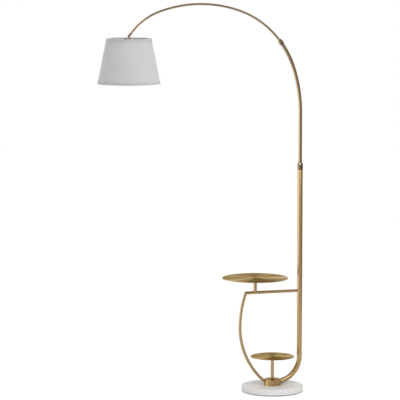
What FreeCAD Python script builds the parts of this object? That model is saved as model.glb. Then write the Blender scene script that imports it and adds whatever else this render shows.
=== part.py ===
import FreeCAD, Part
import math
import os

import Sketcher

# A reading lamp on a long arched pole, with two small round tables built into its foot.
# Frame: +Z up, origin at the middle of the foot on the floor, lamp plane = XZ.
# The pole stands on the +X side of the foot and the arch leans over it to the -X side.
# Lengths are in millimetres and angles in degrees.

SIZES = {
    # foot
    "pad_radius": 136.0,
    "pad_height": 2.0,
    "foot_radius": 140.0,
    "foot_top": 28.5,
    "foot_edge": 3.0,
    "recess_radius": 28.0,
    "recess_top": 20.0,
    "rod_hole_radius": 6.5,
    "channel_z": 6.5,
    "channel_radius": 4.25,
    "washer_radius": 20.0,
    "washer_height": 2.5,
    "washer_play": 0.3,
    "foot_nut_flats": 19.0,
    "foot_nut_height": 6.0,
    "tie_rod_radius": 6.0,
    "tie_rod_bore": 4.0,
    "tie_rod_low": 11.0,
    "gland_length": 11.0,
    "gland_bore": 2.6,
    "wire_radius": 2.5,
    "wire_turn": 8.0,
    "wire_setback": 10.0,
    "wire_top": 694.0,
    # hub
    "hub_radius": 38.5,
    "hub_height": 28.0,
    "hub_edge": 3.5,
    "hub_wall": 3.5,
    "hub_floor": 8.0,
    "hub_roof": 3.0,
    "hub_socket_turn": 28.0,
    # lower pole
    "pole_x": 130.5,
    "pole_radius": 12.0,
    "pole_bore": 10.2,
    "pole_bend_radius": 115.0,
    "pole_bend_z": 156.5,
    "pole_top": 1034.0,
    "neck_radius": 11.3,
    "neck_length": 23.0,
    # table frame
    "bar_radius": 6.75,
    "bar_bore": 5.55,
    "bar_z": 458.0,
    "strut_x": -156.0,
    "strut_z": 300.0,
    "strut_upper_radius": 470.0,
    "strut_lower_radius": 330.0,
    "strut_foot_z": 41.0,
    "mitre_overrun": 15.0,
    "mitre_reach": 30.0,
    # tables
    "stem_radius": 7.75,
    "stem_bore": 6.25,
    "tray_height": 3.0,
    "tray_edge": 1.4,
    "upper_tray_x": -84.0,
    "upper_tray_radius": 150.0,
    "upper_tray_top": 526.5,
    "lower_tray_radius": 100.0,
    "lower_tray_top": 161.5,
    "stud_radius": 4.0,
    "stud_length": 20.0,
    "insert_length": 14.0,
    "screw_head_flats": 13.0,
    "screw_head_height": 5.0,
    # telescoping mast
    "mast_radius": 8.2,
    "mast_bore": 7.0,
    "mast_low": 934.0,
    "lead_z": 1272.0,
    "lead_radius": 640.0,
    "lead_turn": 18.5,
    "guide_radius": 417.0,
    "mast_turn": 37.0,
    "bush_low": 940.0,
    "bush_length": 26.0,
    "bush_radius": 10.15,
    "bush_bore": 8.25,
    "stop_ring_radius": 9.9,
    "stop_ring_length": 3.0,
    "stop_ring_gap": 0.3,
    "ferrule_radius": 11.0,
    "ferrule_bore": 8.25,
    "ferrule_length": 6.5,
    "ferrule_slit": 1.6,
    "ferrule_shoulder": 3.9,
    "ferrule_taper": 1.25,
    "mast_wire_radius": 2.5,
    "mast_wire_turn": 19.0,
    # lock collars
    "collar_radius": 13.0,
    "collar_low": 1011.5,
    "collar_shoulder": 1034.5,
    "collar_top": 1046.0,
    "collar_bore": 11.35,
    "collar_mouth": 8.55,
    "collar_tip": 9.7,
    "collar_chamfer": 0.6,
    "collar_ease": 0.5,
    "collar_ease_length": 2.5,
    "collar_tip_chamfer": 1.0,
    "collar_lip": 2.5,
    "collar_seat": 8.0,
    "reach_collar_radius": 10.6,
    "reach_collar_turn": 36.6,
    "reach_collar_below": 10.5,
    "reach_collar_above": 17.0,
    "reach_collar_shoulder": 5.0,
    "reach_collar_bore": 8.6,
    "reach_collar_mouth": 5.6,
    "reach_collar_tip": 6.6,
    "reach_collar_ease_length": 2.0,
    "reach_collar_lip": 3.0,
    "reach_collar_seat": 4.2,
    "reach_ferrule_radius": 7.8,
    "reach_ferrule_length": 6.0,
    "reach_ferrule_bore": 5.1,
    # arch
    "arch_radius": 5.0,
    "arch_bore": 3.8,
    "arch_inner_turn": 31.0,
    "guide_turn": 71.5,
    "crown_radius": 575.0,
    "crown_turn": 109.0,
    "drop_radius": 286.0,
    "drop_turn": 142.0,
    "arch_bush_radius": 6.9,
    "arch_bush_length": 16.0,
    "arch_wire_radius": 2.25,
    "arch_wire_stop": 3.0,
    # knuckle
    "knuckle_reach": 14.7,
    "knuckle_width": 10.0,
    "ear_radius": 5.6,
    "slot_width": 4.8,
    "slot_radius": 6.4,
    "plug_length": 9.0,
    "plug_radius": 3.6,
    "pivot_radius": 2.0,
    "pivot_hole": 2.05,
    "screw_head_radius": 3.6,
    "screw_head_length": 2.2,
    "screw_head_edge": 0.8,
    "screw_slot_half": 0.5,
    "screw_slot_depth": 1.0,
    "screw_reach": 3.4,
    "cap_nut_radius": 3.9,
    "cap_nut_length": 4.4,
    "cap_nut_side": 2.6,
    "cap_nut_dome": 0.5,
    "tongue_width": 4.5,
    "tongue_radius": 5.3,
    # lamp head, measured down from the knuckle's pivot
    "rod_radius": 5.0,
    "rod_neck_half": 4.0,
    "rod_shoulder": 7.6,
    "rod_end": 24.0,
    "holder_top": 8.2,
    "holder_flange_radius": 23.8,
    "holder_edge": 1.2,
    "shade_drop": 11.0,
    "holder_radius": 19.0,
    "holder_bore": 16.5,
    "holder_roof": 26.0,
    "holder_end": 64.0,
    "shell_radius": 15.0,
    "shell_bore": 13.6,
    "shell_end": 60.0,
    "shell_floor": 1.2,
    "shell_hole": 6.0,
    "contact_radius": 4.0,
    "contact_height": 3.0,
    "contact_edge": 1.0,
    "fitter_radius": 23.4,
    "fitter_height": 2.0,
    "fitter_wire": 1.6,
    "fitter_arm_radius": 0.96,
    "fitter_arm_overlap": 1.0,
    "wire_play": 0.2,
    "ring_nut_radius": 22.8,
    "ring_nut_height": 7.0,
    "ring_nut_edge": 2.0,
    "bulb_cap_radius": 13.2,
    "bulb_cap_top": 32.5,
    "bulb_cap_end": 60.0,
    "bulb_tip_radius": 5.0,
    "bulb_tip_height": 3.0,
    "bulb_cap_slope": 3.0,
    "bulb_cap_lead": 2.0,
    "bulb_cap_shoulder": 5.0,
    "bulb_neck_radius": 18.0,
    "bulb_neck_end": 84.0,
    "bulb_neck_step": 1.0,
    "bulb_neck_flare": 12.0,
    "bulb_collar_radius": 23.0,
    "bulb_radius": 30.0,
    "bulb_end": 142.0,
    "bulb_skin": 1.4,
    # shade
    "shade_height": 200.0,
    "shade_top_radius": 100.0,
    "shade_low_radius": 140.0,
    "shade_skin": 1.2,
    "trim_height": 12.0,
    "trim_skin": 0.6,
    "low_wire_rise": 2.0,
}

doc = FreeCAD.newDocument("ArchLampWithTables")
sheet = doc.addObject("Spreadsheet::Sheet", "Sizes")
for row, (alias, value) in enumerate(SIZES.items(), start=1):
    sheet.set("A%d" % row, alias)
    sheet.set("B%d" % row, str(value))
    sheet.setAlias("B%d" % row, alias)
doc.recompute()


class Size:
    """A number together with the formula that gives it from the sheet."""

    def __init__(self, value, text):
        self.value = float(value)
        self.text = text

    def __add__(self, other):
        other = as_size(other)
        return Size(self.value + other.value, "(%s + %s)" % (self.text, other.text))

    def __sub__(self, other):
        other = as_size(other)
        return Size(self.value - other.value, "(%s - %s)" % (self.text, other.text))

    def __mul__(self, other):
        other = as_size(other)
        return Size(self.value * other.value, "(%s * %s)" % (self.text, other.text))

    def __truediv__(self, other):
        other = as_size(other)
        return Size(self.value / other.value, "(%s / %s)" % (self.text, other.text))

    def __neg__(self):
        return Size(-self.value, "(0 - %s)" % self.text)


def as_size(item):
    """A plain number as a Size."""
    if isinstance(item, Size):
        return item
    return Size(item, "(%r)" % float(item))


def size(alias):
    """The Size that a cell of the sheet holds."""
    return Size(SIZES[alias], "Sizes.%s" % alias)


def sine(angle):
    angle = as_size(angle)
    return Size(math.sin(math.radians(angle.value)), "sin(%s * 1 deg)" % angle.text)


def cosine(angle):
    angle = as_size(angle)
    return Size(math.cos(math.radians(angle.value)), "cos(%s * 1 deg)" % angle.text)


def arcsine(ratio):
    """The angle in degrees whose sine is ratio."""
    degrees = math.degrees(math.asin(ratio.value))
    return Size(degrees, "(asin(%s) / 1 deg)" % ratio.text)


def root(item):
    return Size(math.sqrt(item.value), "sqrt(%s)" % item.text)


# ---------------------------------------------------------------- sketches and features

nodes = []


def keep(item, name):
    """Name a finished piece and put it on the list of pieces to write."""
    item.Label = name
    nodes.append(item)
    return item


def new_body(name):
    return doc.addObject("PartDesign::Body", name)


def origin_plane(body, role):
    for feature in body.Origin.OriginFeatures:
        if feature.Role == role:
            return feature
    raise ValueError(role)


def new_sketch(body, name, role, offset=None):
    """A sketch on one of the body's origin planes, moved along its normal by offset."""
    sketch = body.newObject("Sketcher::SketchObject", name)
    sketch.AttachmentSupport = (origin_plane(body, role), [""])
    sketch.MapMode = "FlatFace"
    if offset is not None:
        base = FreeCAD.Vector(0, 0, offset.value)
        sketch.AttachmentOffset = FreeCAD.Placement(base, FreeCAD.Rotation())
        sketch.setExpression("AttachmentOffset.Base.z", offset.text)
    return sketch


def bind(sketch, kind, *parts):
    """Add a constraint whose last part is a Size, driven by that Size's formula."""
    amount = parts[-1]
    value = amount.value
    text = amount.text
    if kind == "Angle":
        value = math.radians(value)
        text = "%s * 1 deg" % text
    index = sketch.addConstraint(Sketcher.Constraint(kind, *parts[:-1], value))
    sketch.setExpression("Constraints[%d]" % index, text)


def pin_point(sketch, geometry, point, across, up):
    """Hold a point of the sketch at a place given by two Sizes."""
    for kind, amount in (("DistanceX", across), ("DistanceY", up)):
        if amount.text == "(0.0)":
            axis = -2 if kind == "DistanceX" else -1
            sketch.addConstraint(Sketcher.Constraint("PointOnObject", geometry, point, axis))
        else:
            bind(sketch, kind, -1, 1, geometry, point, amount)


def flat(across, up):
    return FreeCAD.Vector(across, up, 0)


def polygon(sketch, points):
    """A closed outline of straight lines through points given as pairs of Sizes."""
    points = [(as_size(across), as_size(up)) for across, up in points]
    count = len(points)
    for index in range(count):
        start = flat(points[index][0].value, points[index][1].value)
        after = points[(index + 1) % count]
        sketch.addGeometry(Part.LineSegment(start, flat(after[0].value, after[1].value)), False)
    for index in range(count):
        sketch.addConstraint(Sketcher.Constraint("Coincident", index, 2, (index + 1) % count, 1))
    for index, (across, up) in enumerate(points):
        pin_point(sketch, index, 1, across, up)


def circle(sketch, radius, across=0.0, up=0.0):
    """A circle of the given radius about a pinned centre."""
    across = as_size(across)
    up = as_size(up)
    centre = flat(across.value, up.value)
    shape = Part.Circle(centre, FreeCAD.Vector(0, 0, 1), radius.value)
    geometry = sketch.addGeometry(shape, False)
    pin_point(sketch, geometry, 3, across, up)
    bind(sketch, "Radius", geometry, radius)


def turned(name, points):
    """A body turned about the Z axis from an outline of (radius, height) pairs."""
    body = new_body(name)
    outline = new_sketch(body, name + "_outline", "XZ_Plane")
    polygon(outline, points)
    feature = body.newObject("PartDesign::Revolution", name + "_turned")
    feature.Profile = outline
    feature.ReferenceAxis = (outline, ["V_Axis"])
    feature.Angle = 360.0
    outline.Visibility = False
    doc.recompute()
    return body


def ring(name, inner, outer, low, high):
    """A plain turned ring."""
    return turned(name, [(inner, low), (outer, low), (outer, high), (inner, high)])


def padded(name, draw, role, offset, length, midplane=False):
    """A body padded from what draw(sketch) puts on a plane."""
    body = new_body(name)
    outline = new_sketch(body, name + "_outline", role, offset)
    draw(outline)
    feature = body.newObject("PartDesign::Pad", name + "_pad")
    feature.Profile = outline
    feature.Midplane = midplane
    feature.Length = length.value
    feature.setExpression("Length", length.text)
    doc.recompute()
    return body


def add_pad(body, label, draw, role, offset, length, reverse=False):
    """One more pad on a body."""
    outline = new_sketch(body, label + "_outline", role, offset)
    draw(outline)
    feature = body.newObject("PartDesign::Pad", label)
    feature.Profile = outline
    feature.Reversed = reverse
    feature.Length = length.value
    feature.setExpression("Length", length.text)
    doc.recompute()


def cut(body, label, draw, role, offset=None, length=None, midplane=False):
    """Cut what draw(sketch) outlines out of a body, and check that something went."""
    before = body.Shape.Volume
    outline = new_sketch(body, label + "_outline", role, offset)
    draw(outline)
    feature = body.newObject("PartDesign::Pocket", label)
    feature.Profile = outline
    feature.Midplane = midplane
    if length is None:
        feature.Type = 1
    else:
        feature.Length = length.value
        feature.setExpression("Length", length.text)
    doc.recompute()
    if body.Shape.Volume >= before - 1e-6:
        raise ValueError("nothing cut: " + label)


def round_rims(body, radius, rims):
    """Round the circular edges at the given (radius, height) pairs."""
    names = []
    for index, edge in enumerate(body.Shape.Edges, start=1):
        curve = edge.Curve
        if not isinstance(curve, Part.Circle):
            continue
        for rim_radius, rim_z in rims:
            same_radius = abs(curve.Radius - rim_radius.value) < 1e-4
            if same_radius and abs(edge.CenterOfMass.z - rim_z.value) < 1e-4:
                names.append("Edge%d" % index)
    solid = body.Tip
    feature = body.newObject("PartDesign::Fillet", body.Name + "_round")
    feature.Base = (solid, names)
    feature.Radius = radius.value
    feature.setExpression("Radius", radius.text)
    body.Tip = feature
    doc.recompute()


def place(item, across, up, turn=None):
    """Bind a piece's place in the lamp plane, leaned by turn degrees towards -X."""
    angle = 0.0 if turn is None else -turn.value
    spot = FreeCAD.Vector(across.value, 0, up.value)
    item.Placement = FreeCAD.Placement(spot, FreeCAD.Rotation(FreeCAD.Vector(0, 1, 0), angle))
    item.setExpression("Placement.Base.x", across.text)
    item.setExpression("Placement.Base.z", up.text)
    if turn is not None:
        item.setExpression("Placement.Rotation.Angle", "(0 - %s) * 1 deg" % turn.text)
    doc.recompute()


# ---------------------------------------------------------------- tubes along tangent paths


def draw_path(sketch, across, up, heading, parts):
    """Lines and left-hand bends, each tangent to the one before.

    heading is 90 where the path starts upwards and 0 where it starts towards +X.
    parts holds ("line", length) and ("bend", radius, angle).
    """
    spot = flat(across.value, up.value)
    previous = None
    for part in parts:
        ahead = math.radians(heading)
        if part[0] == "line":
            reach = part[1].value
            end = spot + flat(reach * math.cos(ahead), reach * math.sin(ahead))
            geometry = sketch.addGeometry(Part.LineSegment(spot, end), False)
            bind(sketch, "Distance", geometry, part[1])
            spot = end
        else:
            radius, angle = part[1], part[2]
            centre = spot + flat(-radius.value * math.sin(ahead), radius.value * math.cos(ahead))
            first = ahead - math.pi / 2
            last = first + math.radians(angle.value)
            full = Part.Circle(centre, FreeCAD.Vector(0, 0, 1), radius.value)
            geometry = sketch.addGeometry(Part.ArcOfCircle(full, first, last), False)
            bind(sketch, "Radius", geometry, radius)
            bind(sketch, "Angle", geometry, angle)
            spot = centre + flat(radius.value * math.cos(last), radius.value * math.sin(last))
            heading += angle.value
        if previous is None:
            pin_point(sketch, geometry, 1, across, up)
            if part[0] == "line":
                kind = "Vertical" if heading == 90 else "Horizontal"
                sketch.addConstraint(Sketcher.Constraint(kind, geometry))
            else:
                kind = "Horizontal" if abs(math.cos(ahead)) < 0.5 else "Vertical"
                sketch.addConstraint(Sketcher.Constraint(kind, geometry, 3, geometry, 1))
        else:
            sketch.addConstraint(Sketcher.Constraint("Tangent", previous, 2, geometry, 1))
        previous = geometry


def add_pipe(body, label, across, up, heading, parts, outer, bore=None, cutting=False):
    """Sweep a ring or a disc along a tangent path that lies in the lamp plane."""
    path = new_sketch(body, label + "_path", "XZ_Plane")
    draw_path(path, across, up, heading, parts)
    if heading == 90:
        section = new_sketch(body, label + "_section", "XY_Plane", up)
        place_of_centre = (across, as_size(0.0))
    else:
        section = new_sketch(body, label + "_section", "YZ_Plane", across)
        place_of_centre = (as_size(0.0), up)
    circle(section, outer, *place_of_centre)
    if bore is not None:
        circle(section, bore, *place_of_centre)
    kind = "PartDesign::SubtractivePipe" if cutting else "PartDesign::AdditivePipe"
    feature = body.newObject(kind, label)
    feature.Profile = section
    feature.Spine = (path, [])
    doc.recompute()
    return feature


def path_length(parts):
    total = 0.0
    for part in parts:
        if part[0] == "line":
            total += part[1].value
        else:
            total += part[1].value * math.radians(part[2].value)
    return total


def pipe(name, across, up, heading, parts, outer, bore=None):
    """A tube or a rod along a tangent path, with its volume checked."""
    body = new_body(name)
    add_pipe(body, name + "_sweep", across, up, heading, parts, outer, bore)
    inner = 0.0 if bore is None else bore.value
    expected = math.pi * (outer.value ** 2 - inner ** 2) * path_length(parts)
    if abs(body.Shape.Volume / expected - 1.0) > 1e-4:
        raise ValueError("tube volume is off: " + name)
    return body


ZERO = as_size(0.0)

# how far a cutting outline runs past the surface that it cuts through
CUT_MARGIN = 1.0


# ---------------------------------------------------------------- places on the arch


def arch_point(turn):
    """Where the centreline of mast and arch is once it has turned by turn degrees."""
    stages = (
        (size("lead_radius"), ZERO, size("lead_turn")),
        (size("guide_radius"), size("lead_turn"), size("guide_turn")),
        (size("crown_radius"), size("guide_turn"), size("crown_turn")),
        (size("drop_radius"), size("crown_turn"), size("drop_turn")),
    )
    across = size("pole_x")
    up = size("lead_z")
    for radius, start, end in stages:
        if turn.value > end.value + 1e-9:
            stop = end
        else:
            stop = turn
        across = across - radius * (cosine(start) - cosine(stop))
        up = up + radius * (sine(stop) - sine(start))
        if stop is turn:
            break
    return across, up


end_x, end_z = arch_point(size("drop_turn"))
pivot_x = end_x - size("knuckle_reach") * sine(size("drop_turn"))
pivot_z = end_z + size("knuckle_reach") * cosine(size("drop_turn"))


# ---------------------------------------------------------------- foot

hub_top = size("foot_top") + size("hub_height")


def make_pad():
    pad = padded("BasePad", lambda s: circle(s, size("pad_radius")), "XY_Plane", None,
                 size("pad_height"))
    keep(pad, "base_pad")


def draw_channel(sketch):
    """The groove that the lead runs in: flat sides below, half round above."""
    radius = size("channel_radius")
    low = size("pad_height")
    mid = size("channel_z")
    corners = [(-radius.value, mid.value), (-radius.value, low.value),
               (radius.value, low.value), (radius.value, mid.value)]
    for start, end in zip(corners, corners[1:]):
        sketch.addGeometry(Part.LineSegment(flat(*start), flat(*end)), False)
    full = Part.Circle(flat(0, mid.value), FreeCAD.Vector(0, 0, 1), radius.value)
    sketch.addGeometry(Part.ArcOfCircle(full, 0.0, math.pi), False)
    for first, second in ((0, 1), (1, 2)):
        sketch.addConstraint(Sketcher.Constraint("Coincident", first, 2, second, 1))
    sketch.addConstraint(Sketcher.Constraint("Tangent", 2, 2, 3, 1))
    sketch.addConstraint(Sketcher.Constraint("Tangent", 0, 1, 3, 2))
    sketch.addConstraint(Sketcher.Constraint("Vertical", 2))
    sketch.addConstraint(Sketcher.Constraint("Horizontal", 1))
    pin_point(sketch, 3, 3, ZERO, mid)
    bind(sketch, "Radius", 3, radius)
    bind(sketch, "DistanceY", -1, 1, 1, 1, low)


def make_marble():
    low = size("pad_height")
    top = size("foot_top")
    outer = size("foot_radius")
    hole = size("rod_hole_radius")
    recess = size("recess_radius")
    recess_top = size("recess_top")
    marble = turned("Marble", [(recess, low), (outer, low), (outer, top), (hole, top),
                               (hole, recess_top), (recess, recess_top)])
    round_rims(marble, size("foot_edge"), [(outer, top)])
    cut(marble, "MarbleChannel", draw_channel, "XZ_Plane")
    keep(marble, "marble_base")


def draw_hexagon(sketch, flats):
    corner = flats / root(as_size(3.0))
    points = []
    for index in range(6):
        angle = as_size(60.0 * index)
        points.append((corner * cosine(angle), corner * sine(angle)))
    polygon(sketch, points)


def make_foot_fasteners():
    recess_top = size("recess_top")
    washer_low = recess_top - size("washer_height")
    rod = size("tie_rod_radius")
    keep(ring("TieRod", size("tie_rod_bore"), rod, size("tie_rod_low"),
              size("foot_top") + size("hub_floor")), "tie_rod")
    keep(ring("FootWasher", rod + size("washer_play"), size("washer_radius"), washer_low,
              recess_top), "base_washer")
    nut = padded("FootNut", lambda s: draw_hexagon(s, size("foot_nut_flats")), "XY_Plane",
                 washer_low - size("foot_nut_height"), size("foot_nut_height"))
    cut(nut, "FootNutHole", lambda s: circle(s, rod), "XY_Plane", midplane=True)
    keep(nut, "base_nut")


def make_gland():
    """The rubber sleeve at the back of the foot, where the lead comes in."""
    outer = size("channel_radius")
    length = size("gland_length")
    gland = ring("Gland", size("gland_bore"), outer, ZERO, length)
    back = root(size("foot_radius") * size("foot_radius") - outer * outer)
    gland.Placement = FreeCAD.Placement(FreeCAD.Vector(0, 0, 0),
                                        FreeCAD.Rotation(FreeCAD.Vector(1, 0, 0), 90))
    gland.setExpression("Placement.Base.y", back.text)
    gland.setExpression("Placement.Base.z", size("channel_z").text)
    doc.recompute()
    keep(gland, "cord_gland")


# ---------------------------------------------------------------- hub and lower pole

pole_start_x = size("pole_x") - size("pole_bend_radius")
pole_start_z = size("pole_bend_z") - size("pole_bend_radius")
LEAST_SOCKET_VOLUME = 1000.0


def strut_arc_point(height, radius):
    """The strut's centreline at a height, on its arc of the given radius."""
    drop = height - size("strut_z")
    return size("strut_x") + radius - root(radius * radius - drop * drop)


def make_hub():
    low = size("foot_top")
    outer = size("hub_radius")
    inner = outer - size("hub_wall")
    floor = low + size("hub_floor")
    roof = hub_top - size("hub_roof")
    hub = turned("Hub", [(size("tie_rod_radius"), low), (outer, low), (outer, hub_top),
                         (size("stud_radius"), hub_top), (size("stud_radius"), roof),
                         (inner, roof), (inner, floor), (size("tie_rod_radius"), floor)])
    round_rims(hub, size("hub_edge"), [(outer, hub_top)])
    before = hub.Shape.Volume
    add_pipe(hub, "HubPoleSocket", pole_start_x, pole_start_z, 0,
             [("bend", size("pole_bend_radius"), size("hub_socket_turn"))], size("pole_radius"),
             cutting=True)
    add_strut_arc(hub, "HubStrutSocket", size("strut_lower_radius"), size("strut_foot_z"),
                  size("bar_radius"), None, cutting=True)
    if hub.Shape.Volume > before - LEAST_SOCKET_VOLUME:
        raise ValueError("the hub's sockets are missing")
    keep(hub, "hub")


def make_lower_pole():
    radius = size("pole_bend_radius")
    parts = [("bend", radius, as_size(90.0)), ("line", size("pole_top") - size("pole_bend_z"))]
    pole = pipe("LowerPole", pole_start_x, pole_start_z, 0, parts, size("pole_radius"),
                size("pole_bore"))

    def neck(sketch):
        circle(sketch, size("neck_radius"), size("pole_x"))
        circle(sketch, size("collar_radius"), size("pole_x"))

    cut(pole, "LowerPoleNeck", neck, "XY_Plane", size("pole_top"), size("neck_length"))
    keep(pole, "lower_pole")


def make_pole_wire():
    """The lead from the foot's channel up the tie rod and into the lower pole."""
    turn = size("wire_turn")
    low = size("channel_z")
    wire = new_body("PoleWire")
    path = new_sketch(wire, "PoleWireInlet_path", "YZ_Plane")
    back = size("foot_radius") - size("gland_length") - size("wire_setback")
    riser_top = pole_start_z - turn
    corner = flat(turn.value, (low + turn).value)
    path.addGeometry(Part.LineSegment(flat(back.value, low.value), flat(turn.value, low.value)))
    full = Part.Circle(corner, FreeCAD.Vector(0, 0, 1), turn.value)
    path.addGeometry(Part.ArcOfCircle(full, math.pi, 1.5 * math.pi), False)
    path.addGeometry(Part.LineSegment(flat(0, corner.y), flat(0, riser_top.value)), False)
    path.addConstraint(Sketcher.Constraint("Tangent", 0, 2, 1, 2))
    path.addConstraint(Sketcher.Constraint("Tangent", 1, 1, 2, 1))
    pin_point(path, 0, 1, back, low)
    path.addConstraint(Sketcher.Constraint("Horizontal", 0))
    path.addConstraint(Sketcher.Constraint("Vertical", 2))
    bind(path, "Radius", 1, turn)
    pin_point(path, 2, 2, ZERO, riser_top)
    section = new_sketch(wire, "PoleWireInlet_section", "XZ_Plane", -back)
    circle(section, size("wire_radius"), ZERO, low)
    inlet = wire.newObject("PartDesign::AdditivePipe", "PoleWireInlet")
    inlet.Profile = section
    inlet.Spine = (path, [])
    doc.recompute()
    add_elbow_and_riser(wire, riser_top)
    keep(wire, "pole_wire")


def add_elbow_and_riser(wire, riser_top):
    """From the top of the tie rod over into the pole's bend, and up the pole."""
    turn = size("wire_turn")
    low_end = size("wire_top")
    path = new_sketch(wire, "PoleWireRiser_path", "XZ_Plane")
    bend = size("pole_bend_radius")
    middle = flat(turn.value, riser_top.value)
    small = Part.Circle(middle, FreeCAD.Vector(0, 0, 1), turn.value)
    path.addGeometry(Part.ArcOfCircle(small, 0.5 * math.pi, math.pi), False)
    path.addGeometry(Part.LineSegment(flat(turn.value, pole_start_z.value),
                                      flat(pole_start_x.value, pole_start_z.value)), False)
    large = Part.Circle(flat(pole_start_x.value, size("pole_bend_z").value),
                        FreeCAD.Vector(0, 0, 1), bend.value)
    path.addGeometry(Part.ArcOfCircle(large, -0.5 * math.pi, 0.0), False)
    path.addGeometry(Part.LineSegment(flat(size("pole_x").value, size("pole_bend_z").value),
                                      flat(size("pole_x").value, low_end.value)), False)
    path.addConstraint(Sketcher.Constraint("Tangent", 0, 1, 1, 1))
    path.addConstraint(Sketcher.Constraint("Tangent", 1, 2, 2, 1))
    path.addConstraint(Sketcher.Constraint("Tangent", 2, 2, 3, 1))
    pin_point(path, 0, 2, ZERO, riser_top)
    path.addConstraint(Sketcher.Constraint("Horizontal", 0, 3, 0, 2))
    bind(path, "Radius", 0, turn)
    bind(path, "Radius", 2, bend)
    path.addConstraint(Sketcher.Constraint("Horizontal", 1))
    path.addConstraint(Sketcher.Constraint("Vertical", 3))
    pin_point(path, 3, 2, size("pole_x"), low_end)
    section = new_sketch(wire, "PoleWireRiser_section", "XY_Plane", riser_top)
    circle(section, size("wire_radius"))
    riser = wire.newObject("PartDesign::AdditivePipe", "PoleWireRiser")
    riser.Profile = section
    riser.Spine = (path, [])
    doc.recompute()


# ---------------------------------------------------------------- table frame


def add_strut_arc(body, label, radius, end_height, outer, bore, cutting=False):
    """Sweep the strut's section from its leftmost point along one of its two arcs."""
    left = size("strut_x")
    level = size("strut_z")
    path = new_sketch(body, label + "_path", "XZ_Plane")
    centre = flat((left + radius).value, level.value)
    swing = math.asin((end_height.value - level.value) / radius.value)
    first, last = sorted((math.pi, math.pi - swing))
    full = Part.Circle(centre, FreeCAD.Vector(0, 0, 1), radius.value)
    path.addGeometry(Part.ArcOfCircle(full, first, last), False)
    near, far = (2, 1) if swing > 0 else (1, 2)
    pin_point(path, 0, near, left, level)
    path.addConstraint(Sketcher.Constraint("Horizontal", 0, 3, 0, near))
    bind(path, "Radius", 0, radius)
    bind(path, "DistanceY", -1, 1, 0, far, end_height)
    section = new_sketch(body, label + "_section", "XY_Plane", level)
    circle(section, outer, left)
    if bore is not None:
        circle(section, bore, left)
    kind = "PartDesign::SubtractivePipe" if cutting else "PartDesign::AdditivePipe"
    feature = body.newObject(kind, label)
    feature.Profile = section
    feature.Spine = (path, [])
    doc.recompute()


corner_x = strut_arc_point(size("bar_z"), size("strut_upper_radius"))
corner_z = size("bar_z")
strut_lean = arcsine((size("bar_z") - size("strut_z")) / size("strut_upper_radius"))
mitre_angle = strut_lean / 2.0 + 45.0
mitre_reach = size("mitre_reach")


def draw_mitre(sketch, side):
    """A block on one side of the mitre plane between strut and bar."""
    along_x = cosine(mitre_angle) * mitre_reach
    along_z = -sine(mitre_angle) * mitre_reach
    across_x = sine(mitre_angle) * mitre_reach * side
    across_z = cosine(mitre_angle) * mitre_reach * side
    inner = (corner_x + along_x, corner_z + along_z)
    outer = (corner_x - along_x, corner_z - along_z)
    polygon(sketch, [outer, inner, (inner[0] + across_x, inner[1] + across_z),
                     (outer[0] + across_x, outer[1] + across_z)])


def make_strut():
    strut = new_body("Strut")
    add_strut_arc(strut, "StrutUpper", size("strut_upper_radius"),
                  size("bar_z") + size("mitre_overrun"), size("bar_radius"), size("bar_bore"))
    add_strut_arc(strut, "StrutLower", size("strut_lower_radius"), size("strut_foot_z"),
                  size("bar_radius"), size("bar_bore"))
    cut(strut, "StrutMitre", lambda s: draw_mitre(s, 1.0), "XZ_Plane", midplane=True)
    keep(strut, "table_strut")


def make_bar():
    def section(sketch):
        circle(sketch, size("bar_radius"), ZERO, size("bar_z"))
        circle(sketch, size("bar_bore"), ZERO, size("bar_z"))

    start = corner_x - size("mitre_overrun")
    bar = padded("Bar", section, "YZ_Plane", start, size("pole_x") - start)
    cut(bar, "BarMitre", lambda s: draw_mitre(s, -1.0), "XZ_Plane", midplane=True)
    cut(bar, "BarCope", lambda s: circle(s, size("pole_radius"), size("pole_x")), "XY_Plane",
        midplane=True)
    keep(bar, "table_bar")


def make_tray(name, node, radius, top, across):
    tray = turned(name, [(ZERO, top - size("tray_height")), (radius, top - size("tray_height")),
                         (radius, top), (ZERO, top)])
    round_rims(tray, size("tray_edge"), [(radius, top), (radius, top - size("tray_height"))])
    place(tray, across, ZERO)
    keep(tray, node)


def make_stems():
    upper_top = size("upper_tray_top") - size("tray_height")
    lower_top = size("lower_tray_top") - size("tray_height")
    upper = ring("UpperStem", size("stem_bore"), size("stem_radius"), size("bar_z"), upper_top)
    cut(upper, "UpperStemCope", lambda s: circle(s, size("bar_radius"), ZERO, size("bar_z")),
        "YZ_Plane", midplane=True)
    place(upper, size("upper_tray_x"), ZERO)
    keep(upper, "upper_tray_stem")
    lower = ring("LowerStem", size("stem_bore"), size("stem_radius"), hub_top, lower_top)
    keep(lower, "lower_tray_stem")
    studs = []
    inserts = []
    for across, top in ((size("upper_tray_x"), upper_top), (ZERO, lower_top)):
        count = len(studs) + 1
        stud = padded("TrayStud%d" % count, lambda s: circle(s, size("stud_radius")),
                      "XY_Plane", top - size("stud_length"), size("stud_length"))
        place(stud, across, ZERO)
        studs.append(stud)
        insert = ring("StemInsert%d" % count, size("stud_radius"), size("stem_bore"),
                      top - size("insert_length"), top)
        place(insert, across, ZERO)
        inserts.append(insert)
    inserts.append(ring("StemInsert3", size("stud_radius"), size("stem_bore"), hub_top,
                        hub_top + size("insert_length")))
    for name, node, pieces in (("TrayStuds", "tray_studs", studs),
                               ("StemInserts", "stem_inserts", inserts)):
        group = doc.addObject("Part::Compound", name)
        group.Links = pieces
        keep(group, node)
    roof = hub_top - size("hub_roof")
    screw = padded("StemScrew", lambda s: draw_hexagon(s, size("screw_head_flats")), "XY_Plane",
                   roof - size("screw_head_height"), size("screw_head_height"))
    add_pad(screw, "StemScrewShank", lambda s: circle(s, size("stud_radius")), "XY_Plane", roof,
            size("hub_roof") + size("insert_length"))
    keep(screw, "stem_screw")


# ---------------------------------------------------------------- telescoping mast


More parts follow.
